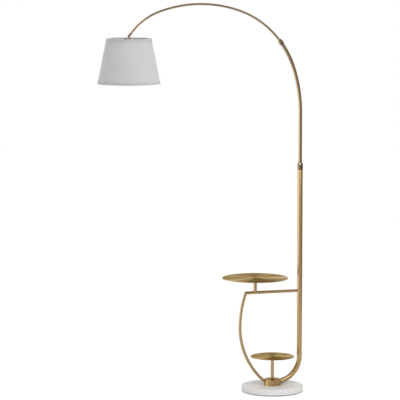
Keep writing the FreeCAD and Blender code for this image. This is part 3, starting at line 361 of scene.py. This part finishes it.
RING_SHARE = 0.16
RING_GLOSS = (0.31, 0.36)
TRAY_ANISOTROPY = 0.4


def spun_tray(name, centre):
    """The face of a tray: fine rings from the brush, and a soft fan of light and dark spokes
    painted in as reflection.
    """
    made, graph, shader = material(name)
    x, y, z = graph.coordinates(centre)
    radius = graph.math("MAXIMUM", graph.length(x, y), TRAY_EYE)
    place = graph.combine(x, y, z)
    turn = graph.math("ARCTAN2", graph.dot(place, -FRONT), graph.dot(place, VIEW_SIDE))
    ray = graph.combine(graph.math("DIVIDE", x, radius), graph.math("DIVIDE", y, radius), 0.0)
    wander = graph.noise(ray, scale=5.0, detail=3.0, roughness=0.6)
    shiver = graph.times(graph.centred(wander), FAN_SHIVER)
    share = graph.plus(graph.math("DIVIDE", turn, 2.0 * math.pi), shiver)
    # Painted reflection: light and dark spokes set by the angle round the tray.
    painted_fan = graph.ramp(graph.math("FRACT", share), PAINTED_SPOKES, "EASE")
    rays = graph.noise(ray, scale=17.0, detail=4.0, roughness=0.65)
    level = graph.plus(graph.times(painted_fan, FAN_SHARE), graph.times(rays, RAY_SHARE))
    ring_grain = graph.combine(graph.times(radius, FINE_MARKS), graph.times(x, LONG_MARKS),
                               graph.times(y, LONG_MARKS))
    rings = graph.noise(ring_grain, scale=1.0, detail=3.0, roughness=0.65)
    cloud = graph.noise(place, scale=24.0)
    ringed = graph.mix(graph.spread(rings, 0.0, RING_SHARE), graph.ramp(level, TRAY_GRAIN_AND_SHEEN),
                       BRASS_DEEP)
    gloss = graph.span(rings, 0.2, 0.8, *RING_GLOSS)
    graph.feed(shader, "Base Color", ringed)
    # The gloss's grazing tint follows the same painted fan.
    graph.feed(shader, "Specular Tint", graph.ramp(level, TRAY_GRAZING_GRAIN_AND_SHEEN))
    graph.feed(shader, "Metallic", 1.0)
    graph.feed(shader, "Roughness", graph.plus(gloss, graph.spread(cloud, *SMEAR_GLOSS)))
    graph.feed(shader, "Normal", graph.bump(rings, 0.08, MARK_DEPTH))
    spin(graph, shader, TRAY_ANISOTROPY)
    return made


def plated_steel(name):
    """Zinc-plated steel with a faint spangle."""
    made, graph, shader = material(name)
    place = graph.combine(*graph.coordinates())
    fine = graph.noise(place, scale=900.0, detail=2.0)
    slow = graph.noise(place, scale=60.0)
    colour = graph.ramp(slow, [(0.3, (0.50, 0.51, 0.52)), (0.7, (0.68, 0.69, 0.70))])
    graph.feed(shader, "Base Color", colour)
    graph.feed(shader, "Metallic", 1.0)
    graph.feed(shader, "Roughness", graph.spread(fine, 0.24, 0.42))
    graph.feed(shader, "Normal", graph.bump(fine, 0.1, 0.00005))
    return made


# ---------------------------------------------------------------- stone, plastic, glass

STONE = [(0.3, (0.795, 0.790, 0.778)), (0.7, (0.835, 0.830, 0.818))]
VEIN_GREY = (0.54, 0.54, 0.545)
VEIN_WIDTH = 0.035
VEIN_SHARE = 0.22
VEIN_PATCHES = (0.42, 0.68) # levels of a slow noise between which the veins fade in
VEIN_BEND_X = 0.11          # how far another slow noise bends them
VEIN_BEND_Y = 0.07
# Colour of the painted shade along the stone's lower edge.
EDGE_SHADE_GREY = (0.25, 0.24, 0.235)
ARRIS_LOW = 0.0036          # the painted shade along the lower edge fades out between these heights
ARRIS_HIGH = 0.0072
PLAIN_IOR = 1.5             # stone, plastic and rubber


def marble():
    """Honed white stone with a faint cloud, a few soft grey veins and painted shade along its
    lower edge.
    """
    made, graph, shader = material("white_marble")
    x, y, z = graph.coordinates()
    place = graph.combine(x, y, z)
    warp = graph.noise(place, scale=9.0, detail=5.0, roughness=0.6)
    bent = graph.combine(graph.plus(x, graph.times(warp, VEIN_BEND_X)),
                         graph.plus(y, graph.times(warp, VEIN_BEND_Y)), z)
    vein = graph.noise(bent, scale=11.0, detail=6.0, roughness=0.58, distortion=0.6)
    ridge = graph.math("ABSOLUTE", graph.centred(vein))
    line = graph.span(ridge, 0.0, VEIN_WIDTH, 1.0, 0.0)
    patch = graph.span(graph.noise(place, scale=6.0, detail=2.0), *VEIN_PATCHES, 0.0, 1.0)
    shown = graph.math("MULTIPLY", line, patch, clamp=True)
    cloud = graph.noise(bent, scale=20.0, detail=5.0, roughness=0.6)
    veined = graph.mix(graph.times(shown, VEIN_SHARE), graph.ramp(cloud, STONE), VEIN_GREY)
    # Painted shade: darker towards the bottom edge, broken up by the cloud.
    arris = graph.span(z, ARRIS_LOW, ARRIS_HIGH, 1.0, 0.0)
    painted_edge_shade = graph.times(arris, graph.spread(cloud, 0.75, 1.0))
    fine = graph.noise(place, scale=1400.0, detail=2.0)
    graph.feed(shader, "Base Color", graph.mix(painted_edge_shade, veined, EDGE_SHADE_GREY))
    graph.feed(shader, "Roughness", graph.spread(fine, 0.42, 0.55))
    graph.feed(shader, "Normal", graph.bump(fine, 0.05, 0.00004))
    shader.inputs["IOR"].default_value = PLAIN_IOR
    return made


def moulded(name, light, dark, roughness, grain_scale, strength):
    """Moulded plastic or rubber with a fine texture and slow tone changes."""
    made, graph, shader = material(name)
    place = graph.combine(*graph.coordinates())
    grain = graph.noise(place, scale=grain_scale, detail=3.0, roughness=0.6)
    slow = graph.noise(place, scale=35.0)
    graph.feed(shader, "Base Color", graph.ramp(slow, [(0.35, dark), (0.65, light)]))
    graph.feed(shader, "Roughness", graph.spread(grain, roughness - 0.08, roughness + 0.08))
    graph.feed(shader, "Normal", graph.bump(grain, strength, 0.00012))
    shader.inputs["IOR"].default_value = PLAIN_IOR
    return made


def glow_through(shader, weight, depth):
    """Let some light pass through the skin of a piece."""
    shader.inputs["Subsurface Weight"].default_value = weight
    shader.inputs["Subsurface Radius"].default_value = (1.0, 1.0, 0.96)
    shader.inputs["Subsurface Scale"].default_value = depth


def opal_glass():
    """White-coated glass: a glossy skin over a milky body."""
    made, graph, shader = material("opal_glass")
    haze = graph.noise(graph.combine(*graph.coordinates()), scale=40.0)
    colour = graph.ramp(haze, [(0.3, (0.80, 0.80, 0.78)), (0.7, (0.87, 0.87, 0.86))])
    graph.feed(shader, "Base Color", colour)
    graph.feed(shader, "Roughness", graph.spread(haze, 0.10, 0.20))
    graph.feed(shader, "Normal", graph.bump(haze, 0.03, 0.0005))
    glow_through(shader, weight=0.25, depth=0.004)
    return made


# ---------------------------------------------------------------- cloth

LINEN_THREAD = 0.00072      # from one thread to the next
TAPE_THREAD = 0.00064
CLOTH_REACH = 0.120         # the shade's middle radius, which turns an angle into a length
THREAD_WANDER = 0.0011
CROSSING = 0.35             # how far the threads rise and dip where they cross
SLUB_LONG = 42.0            # changes of a thread's thickness in a metre along the thread
SLUB_ACROSS = 1100.0        # and in a metre across the threads
WEAVE_TONE = 0.16           # what the weave's painted shade and the slubs each add to the threads' tone
SLUB_TONE = 0.95
THREAD_TONE = 0.85          # what the threads and the slow cloud each add to the cloth's tone
CLOUD_TONE = 0.18
WEAVE_LIFT = 0.6
WEAVE_DEPTH = 0.00022
LINING_DEPTH = 0.0007       # where linen gives way to lining, below the outer surface
LINING_RELIEF = 0.08        # the smooth lining shows this share of the weave's relief


def linen(name, light, shadow, thread, lining=None):
    """Plain weave with uneven threads, wound round the shade's axis, and a lining's colour."""
    made, graph, shader = material(name)
    x, y, z = graph.coordinates((PIVOT.x, PIVOT.y, 0.0))
    run = graph.times(graph.math("ARCTAN2", y, x), CLOTH_REACH)

    wobble = graph.noise(graph.combine(run, z, 0.0), scale=55.0, detail=2.0)
    shift = graph.times(graph.centred(wobble), THREAD_WANDER)
    warp_wave = graph.math("SINE", graph.times(graph.plus(run, shift), math.pi / thread))
    weft_wave = graph.math("SINE", graph.times(graph.plus(z, shift), math.pi / thread))
    crowns = graph.times(graph.math("ABSOLUTE", warp_wave), graph.math("ABSOLUTE", weft_wave))
    lift = graph.plus(crowns, graph.times(graph.times(warp_wave, weft_wave), CROSSING))

    weft_run = graph.combine(graph.times(run, SLUB_LONG), graph.times(z, SLUB_ACROSS), 0.0)
    warp_run = graph.combine(graph.times(run, SLUB_ACROSS), graph.times(z, SLUB_LONG), 3.0)
    slubs = graph.plus(graph.noise(weft_run, scale=1.0, detail=2.0),
                       graph.noise(warp_run, scale=1.0, detail=2.0))
    slub = graph.times(slubs, 0.5)

    slow = graph.noise(graph.combine(x, y, z), scale=14.0)
    # Painted shade: darker where the weave dips between threads; the slubs are the threads' own
    # uneven tone.
    weave_shade_and_slubs = graph.plus(graph.times(lift, WEAVE_TONE), graph.times(slub, SLUB_TONE))
    tone = graph.plus(graph.times(weave_shade_and_slubs, THREAD_TONE), graph.times(slow, CLOUD_TONE))
    colour = graph.ramp(tone, [(0.30, shadow), (0.72, light)])
    height = graph.plus(graph.times(lift, WEAVE_LIFT), slub)
    if lining is not None:
        fall = graph.math("SUBTRACT", SHADE_TOP, z)
        border = graph.plus(graph.times(fall, SHADE_SLOPE), SHADE_TOP_RADIUS - LINING_DEPTH)
        outside = graph.math("GREATER_THAN", graph.length(x, y), border)
        colour = graph.mix(outside, lining, colour)
        height = graph.times(height, graph.span(outside, 0.0, 1.0, LINING_RELIEF, 1.0))
    graph.feed(shader, "Base Color", colour)
    graph.feed(shader, "Roughness", graph.spread(slub, 0.78, 0.92))
    graph.feed(shader, "Normal", graph.bump(height, 0.35, WEAVE_DEPTH))
    glow_through(shader, weight=0.5, depth=0.0016)
    shader.inputs["Sheen Weight"].default_value = 0.15
    shader.inputs["Sheen Roughness"].default_value = 0.5
    shader.inputs["Specular IOR Level"].default_value = 0.25
    return made


# ---------------------------------------------------------------- materials on the CAD pieces

ON_HUB = (0.0, 0.0, 0.0)
ON_POLE = (POLE_X, 0.0, 0.0)
ON_UPPER_TRAY = (UPPER_TRAY_X, 0.0, 0.0)
ON_SHADE = (PIVOT.x, 0.0, 0.0)

TUBE = tube_brass("brushed_brass_upright", ON_POLE, "z")
STRUT = tube_brass("brushed_brass_strut", (STRUT_X, 0.0, 0.0), "z", roughness=0.30)
BAR = tube_brass("brushed_brass_bar", (0.0, 0.0, BAR_Z), "arc", roughness=0.30)
MAST = tube_brass("brushed_brass_mast", ON_POLE, "z", MAST_TONES, roughness=0.15)
ARCH = tube_brass("brushed_brass_arch", GUIDE_CENTRE, "arc", MAST_TONES, roughness=0.18)
HUB = turned_brass("brushed_brass_hub", ON_HUB, roughness=0.30, anisotropy=0.8, lacquer=0.25,
                   edge=(0.58, 0.46, 0.28))
STEM = turned_brass("brushed_brass_stem", ON_HUB)
UPPER_STEM = turned_brass("brushed_brass_upper_stem", ON_UPPER_TRAY)
LOWER_TRAY = spun_tray("tray_brass_lower", ON_HUB)
UPPER_TRAY = spun_tray("tray_brass_upper", ON_UPPER_TRAY)
COLLAR = turned_brass("aged_brass_collar", ON_POLE, AGED_TONES, roughness=0.22)
KNUCKLE = turned_brass("aged_brass_knuckle", ON_SHADE, KNUCKLE_TONES, roughness=0.26)
ROD = turned_brass("brushed_brass_rod", ON_SHADE, ROD_TONES, roughness=0.26)
SOCKET = turned_brass("socket_brass", ON_SHADE, SOCKET_TONES)
STEEL = plated_steel("zinc_steel")
MARBLE = marble()
FOAM = moulded("foam_pad", grey(0.045), grey(0.022), 0.85, 2600.0, 0.6)
RUBBER = moulded("black_rubber", grey(0.030), grey(0.018), 0.6, 1800.0, 0.25)
JACKET = moulded("cable_jacket", grey(0.060), grey(0.035), 0.5, 1500.0, 0.15)
NYLON = moulded("white_nylon", (0.78, 0.78, 0.75), (0.70, 0.70, 0.67), 0.45, 1500.0, 0.12)
PHENOLIC = moulded("dark_phenolic", (0.300, 0.290, 0.270), (0.230, 0.222, 0.205), 0.38,
                   1600.0, 0.15)
POWDER = moulded("white_wire", grey(0.78), grey(0.68), 0.42, 2200.0, 0.35)
NECK = moulded("white_plastic", (0.80, 0.80, 0.79), (0.74, 0.74, 0.73), 0.35, 1200.0, 0.08)
OPAL = opal_glass()
LINEN = linen("white_linen", grey(0.80), grey(0.60), LINEN_THREAD, lining=(0.80, 0.80, 0.78))
TAPE = linen("linen_tape", (0.79, 0.785, 0.77), (0.58, 0.575, 0.56), TAPE_THREAD)

DRESS = {
    "lower_pole": TUBE, "mast_tube": MAST, "arch_tube": ARCH, "table_strut": STRUT,
    "table_bar": BAR, "hub": HUB, "lower_tray_stem": STEM, "upper_tray_stem": UPPER_STEM,
    "lower_tray": LOWER_TRAY, "upper_tray": UPPER_TRAY, "height_collar": COLLAR,
    "reach_collar": COLLAR, "knuckle_fork": KNUCKLE, "knuckle_screw": KNUCKLE,
    "knuckle_nut": KNUCKLE, "tilt_rod": ROD, "socket_shell": SOCKET, "socket_contact": SOCKET,
    "tie_rod": STEEL, "base_nut": STEEL, "base_washer": STEEL, "tray_studs": STEEL,
    "stem_inserts": STEEL, "stem_screw": STEEL, "mast_stop_rings": STEEL, "bulb_cap": STEEL,
    "marble_base": MARBLE, "base_pad": FOAM, "cord_gland": RUBBER, "pole_wire": JACKET,
    "mast_wire": JACKET, "arch_wire": JACKET, "mast_bush": NYLON, "arch_bush": NYLON,
    "height_ferrule": NYLON, "reach_ferrule": NYLON, "lampholder": PHENOLIC,
    "shade_ring_nut": PHENOLIC, "shade_fitter": POWDER, "shade_bottom_wire": POWDER,
    "bulb_neck": NECK, "bulb_globe": OPAL, "shade_shell": LINEN, "shade_top_trim": TAPE,
    "shade_bottom_trim": TAPE,
}


def dress_nodes():
    """Give every CAD node its one material."""
    for name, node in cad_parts.items():
        node.data.materials.clear()
        node.data.materials.append(DRESS[name])


# ---------------------------------------------------------------- cloth of the shade

SEAM_ANGLE = math.radians(74.0)      # where the cloth's and the top tape's ends meet
LOW_SEAM_ANGLE = math.radians(-111.0)
GIRTH_STEPS = 288
SEAM_STEP = 0.0006          # angle of the raw edge where a band laps over its other end
SHARP_EDGE = math.radians(50.0)

CLOTH_ROWS = 20
CLOTH_INSET = 0.0012        # from the rim to the cloth's edge, which the tape folds round
CLOTH_RECESS = 0.0003       # the cloth lies this deep inside the CAD shell
CLOTH_LAP = 0.0003          # thickness of the overlap, and the angle over which it fades
CLOTH_LAP_ANGLE = 0.09

HEM = 0.012
TAPE_OUTER = 0.00105        # the tape's two faces, from the middle of the shell
TAPE_INNER = 0.00068
TAPE_FOLD_STEPS = 8
TAPE_LAP = 0.00015
TAPE_LAP_ANGLE = 0.075
TAPE_EDGE_SOFTNESS = 0.00012
FACE_SLACK = 0.0001         # tells the tape's outer face from its inner one


def shade_radius(depth):
    """The shade's outer radius at a depth below its top edge."""
    return SHADE_TOP_RADIUS + SHADE_SLOPE * depth


def lap(angle, start, width):
    """1 where one end of the cloth lies over the other, with a raw edge at start, fading out."""
    past = (angle - start) % (2.0 * math.pi)
    return max(0.0, 1.0 - past / width) if past < width else 0.0


def wrap_round(name, section, seam):
    """A closed band round the shade's axis; section(angle) lists its (radius, depth) points."""
    step = 2.0 * math.pi / GIRTH_STEPS
    angles = [seam + step * index for index in range(GIRTH_STEPS)] + [seam - SEAM_STEP]
    form = bmesh.new()
    loops = []
    for angle in angles:
        loops.append([form.verts.new((PIVOT.x + radius * math.cos(angle),
                                      radius * math.sin(angle), SHADE_TOP - depth))
                      for radius, depth in section(angle)])
    for near, far in zip(loops, loops[1:] + loops[:1]):
        for index in range(len(near)):
            after = (index + 1) % len(near)
            form.faces.new((near[index], near[after], far[after], far[index]))
    bmesh.ops.recalc_face_normals(form, faces=form.faces)
    mesh = bpy.data.meshes.new(name)
    form.to_mesh(mesh)
    form.free()
    mesh.polygons.foreach_set("use_smooth", [True] * len(mesh.polygons))
    mesh.set_sharp_from_angle(angle=SHARP_EDGE)
    piece = bpy.data.objects.new(name, mesh)
    scene.collection.objects.link(piece)
    return piece


def cloth_section(angle):
    """Linen on its liner, doubled where the two ends meet."""
    rise = CLOTH_LAP * lap(angle, SEAM_ANGLE, CLOTH_LAP_ANGLE)
    run = SHADE_HEIGHT - 2.0 * CLOTH_INSET
    depths = [CLOTH_INSET + run * row / CLOTH_ROWS for row in range(CLOTH_ROWS + 1)]
    outside = [(shade_radius(depth) - CLOTH_RECESS + rise, depth) for depth in depths]
    inside = [(shade_radius(depth) - SHADE_SKIN, depth) for depth in reversed(depths)]
    return outside + inside


def tape_fold(reach):
    """One face of the tape: up the outside, over the edge and down the inside."""
    points = [(reach, depth) for depth in (HEM, HEM * 0.66, HEM * 0.33)]
    for index in range(TAPE_FOLD_STEPS + 1):
        around = math.pi * index / TAPE_FOLD_STEPS
        points.append((reach * math.cos(around), CLOTH_INSET - reach * math.sin(around)))
    return points + [(-reach, depth) for depth in (HEM * 0.33, HEM * 0.66, HEM)]


def hem_section(edge, inward, seam):
    """Tape folded over the rim at depth edge; inward is +1 for the top rim, -1 for the low one."""

    def section(angle):
        rise = TAPE_LAP * lap(angle, seam, TAPE_LAP_ANGLE)
        loop = []
        for side, depth in tape_fold(TAPE_OUTER) + tape_fold(TAPE_INNER)[::-1]:
            at_edge = depth >= HEM and abs(side) > TAPE_INNER + FACE_SLACK
            soft = TAPE_EDGE_SOFTNESS if at_edge else 0.0
            swell = math.copysign(rise - soft, side) if abs(side) > TAPE_INNER else 0.0
            level = edge + inward * depth
            loop.append((shade_radius(level) - SHADE_SKIN / 2.0 + side + swell, level))
        return loop

    return section


def make_shade_cloth():
    """The cloth and its two hem tapes, in place of the plain CAD shell and trims."""
    cloth = wrap_round("shade_cloth", cloth_section, SEAM_ANGLE)
    top = wrap_round("shade_top_hem", hem_section(0.0, 1.0, SEAM_ANGLE), SEAM_ANGLE)
    low = wrap_round("shade_bottom_hem", hem_section(SHADE_HEIGHT, -1.0, LOW_SEAM_ANGLE),
                     LOW_SEAM_ANGLE)
    for piece, dress, node, slot in ((cloth, LINEN, "shade_shell", "white_linen"),
                                     (top, TAPE, "shade_top_trim", "linen_tape"),
                                     (low, TAPE, "shade_bottom_trim", "linen_tape")):
        piece.data.materials.append(dress)
        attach(piece, "head")
        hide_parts(node)


# ---------------------------------------------------------------- light and floor

# What metal mirrors round the horizon: the light's level once round from the back, by way of
# the photograph's right, the front (0.50) and the left (0.75).
STUDIO_SIDES = [
    (0.00, 0.92), (0.06, 0.60), (0.13, 0.38), (0.24, 0.30), (0.40, 0.40), (0.50, 0.56),
    (0.60, 0.62), (0.64, 1.50), (0.75, 2.30), (0.84, 1.30), (0.92, 0.70), (1.00, 0.92)]
WHITE = (1.0, 1.0, 1.0)
NO_LIMIT = 9.0

FLOOR_RADIUS = 2.6
FLOOR_STEPS = 96
FLOOR_DROP = 0.0003         # keeps the floor out of the pad's own plane
FLOOR_WHITE = (0.86, 0.86, 0.86, 1.0)
FLOOR_GLOW = 1.15
GLOW_TO_EYE = 0.76
GLOW_TO_METAL = 0.45


def add_world():
    """White to the eye, plain to cloth and stone, and a studio with a dark right side to metal."""
    world = bpy.data.worlds.new("studio")
    scene.world = world
    world.use_nodes = True
    graph = Graph(world.node_tree)
    heading = graph.node("ShaderNodeTexCoord").outputs["Generated"]
    to_left = graph.dot(heading, LEFT)
    to_front = graph.dot(heading, FRONT)
    height = graph.dot(heading, RISE)

    around = graph.span(graph.math("ARCTAN2", to_left, to_front), -math.pi, math.pi, 0.0, 1.0)
    sides = graph.ramp(around, STUDIO_SIDES, "EASE")
    # The bright side strip stays below the horizon; above it, nothing is brighter than 1.
    limited = graph.math("MINIMUM", sides, graph.span(height, -0.02, 0.06, NO_LIMIT, 1.0))
    roof = graph.span(to_left, -0.05, 0.40, 0.50, 1.10)
    mirrored = graph.mix(graph.span(height, 0.08, 0.40, 0.0, 1.0), limited, roof)

    walls = graph.span(to_front, -0.6, 0.4, 0.68, 0.48)
    plain = graph.mix(graph.span(height, 0.72, 0.95, 0.0, 1.0), walls, WHITE)

    path, eye = graph.light_path()
    shell = graph.mix(path["Is Glossy Ray"], plain, mirrored)
    background = graph.node("ShaderNodeBackground")
    graph.feed(background, "Color", graph.mix(eye, shell, WHITE))
    graph.feed(background, "Strength", 1.0)
    output = graph.node("ShaderNodeOutputWorld")
    graph.tree.links.new(background.outputs[0], output.inputs[0])


def add_lamp(name, target, offset, size, watts, glossy=True, diffuse=True, only=None):
    """A lamp at target + offset that faces target; only names the one node that it lights."""
    data = bpy.data.lights.new(name, "AREA")
    data.shape = "RECTANGLE"
    data.size, data.size_y = size
    data.energy = watts
    lamp = bpy.data.objects.new(name, data)
    aim = (-offset).to_track_quat("-Z", "Y").to_matrix().to_4x4()
    lamp.matrix_world = Matrix.Translation(target + offset) @ aim
    lamp.visible_camera = False
    lamp.visible_glossy = glossy
    lamp.visible_diffuse = diffuse
    if only is not None:
        group = bpy.data.collections.new(name)
        group.objects.link(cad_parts[only])
        lamp.light_linking.receiver_collection = group
    scene.collection.objects.link(lamp)


def add_lamps():
    """Soft lamps that gloss doesn't show, and screens and glints that only gloss shows."""
    add_lamp("key", LAMP_MIDDLE, FRONT * 3.2 - LEFT * 3.4 + RISE * 1.6, (2.6, 2.6), 46.0,
             glossy=False)
    add_lamp("front", RISE * TABLE_HEIGHT, FRONT * 4.5 + RISE * 5.5, (1.6, 1.6), 60.0,
             glossy=False)
    add_lamp("glint_low", HEIGHT_COLLAR, FRONT + RISE * 0.65, (0.12, 0.12), 4.0,
             diffuse=False, only="height_collar")
    add_lamp("glint_high", REACH_COLLAR, FRONT * 0.98 + LEFT * 0.30 + RISE * 0.58,
             (0.14, 0.14), 9.0, diffuse=False, only="reach_collar")
    add_lamp("screen", ABOVE_POLE, FRONT * 1.53 + LEFT * 1.29, (1.45, 1.35), 2.4, diffuse=False)
    # Low enough to miss the hub's flat top.
    add_lamp("glint_hub", HUB_MIDDLE, FRONT * 0.12 + LEFT * 0.55 - RISE * 0.015,
             (0.07, 0.03), 0.23, diffuse=False, only="hub")
    add_lamp("low_fill", FOOT_MIDDLE, FRONT * 1.55 + LEFT * 0.30 + RISE * 1.25, (0.8, 0.8),
             8.0, glossy=False, only="marble_base")
    add_lamp("bend_screen", POLE_BEND, Vector((-0.15, -1.05, 1.05)), (1.1, 0.5), 9.0,
             diffuse=False, only="lower_pole")
    add_lamp("tail_screen", ARM_TAIL, FRONT * 0.30 + (LEFT + RISE) * 0.53, (0.5, 0.9), 3.4,
             diffuse=False)


def add_floor():
    """A pale round floor that runs out into the white behind it."""
    mesh = bpy.data.meshes.new("floor")
    form = bmesh.new()
    bmesh.ops.create_circle(form, cap_ends=True, segments=FLOOR_STEPS, radius=FLOOR_RADIUS)
    form.to_mesh(mesh)
    form.free()
    floor = bpy.data.objects.new("floor", mesh)
    floor.location.z = -FLOOR_DROP
    scene.collection.objects.link(floor)
    made = bpy.data.materials.new("floor")
    made.use_nodes = True
    graph = Graph(made.node_tree)
    plain = graph.node("ShaderNodeBsdfDiffuse")
    graph.feed(plain, "Color", FLOOR_WHITE)
    glow = graph.node("ShaderNodeEmission")
    graph.feed(glow, "Strength", FLOOR_GLOW)
    path, eye = graph.light_path()
    blend = graph.node("ShaderNodeMixShader")
    graph.feed(blend, 0, graph.math("MAXIMUM", graph.times(eye, GLOW_TO_EYE),
                                    graph.times(path["Is Glossy Ray"], GLOW_TO_METAL)))
    graph.tree.links.new(plain.outputs[0], blend.inputs[1])
    graph.tree.links.new(glow.outputs[0], blend.inputs[2])
    output = graph.node("ShaderNodeOutputMaterial")
    graph.tree.links.new(blend.outputs[0], output.inputs[0])
    mesh.materials.append(made)


add_camera()
dress_nodes()
make_shade_cloth()
add_world()
add_lamps()
add_floor()
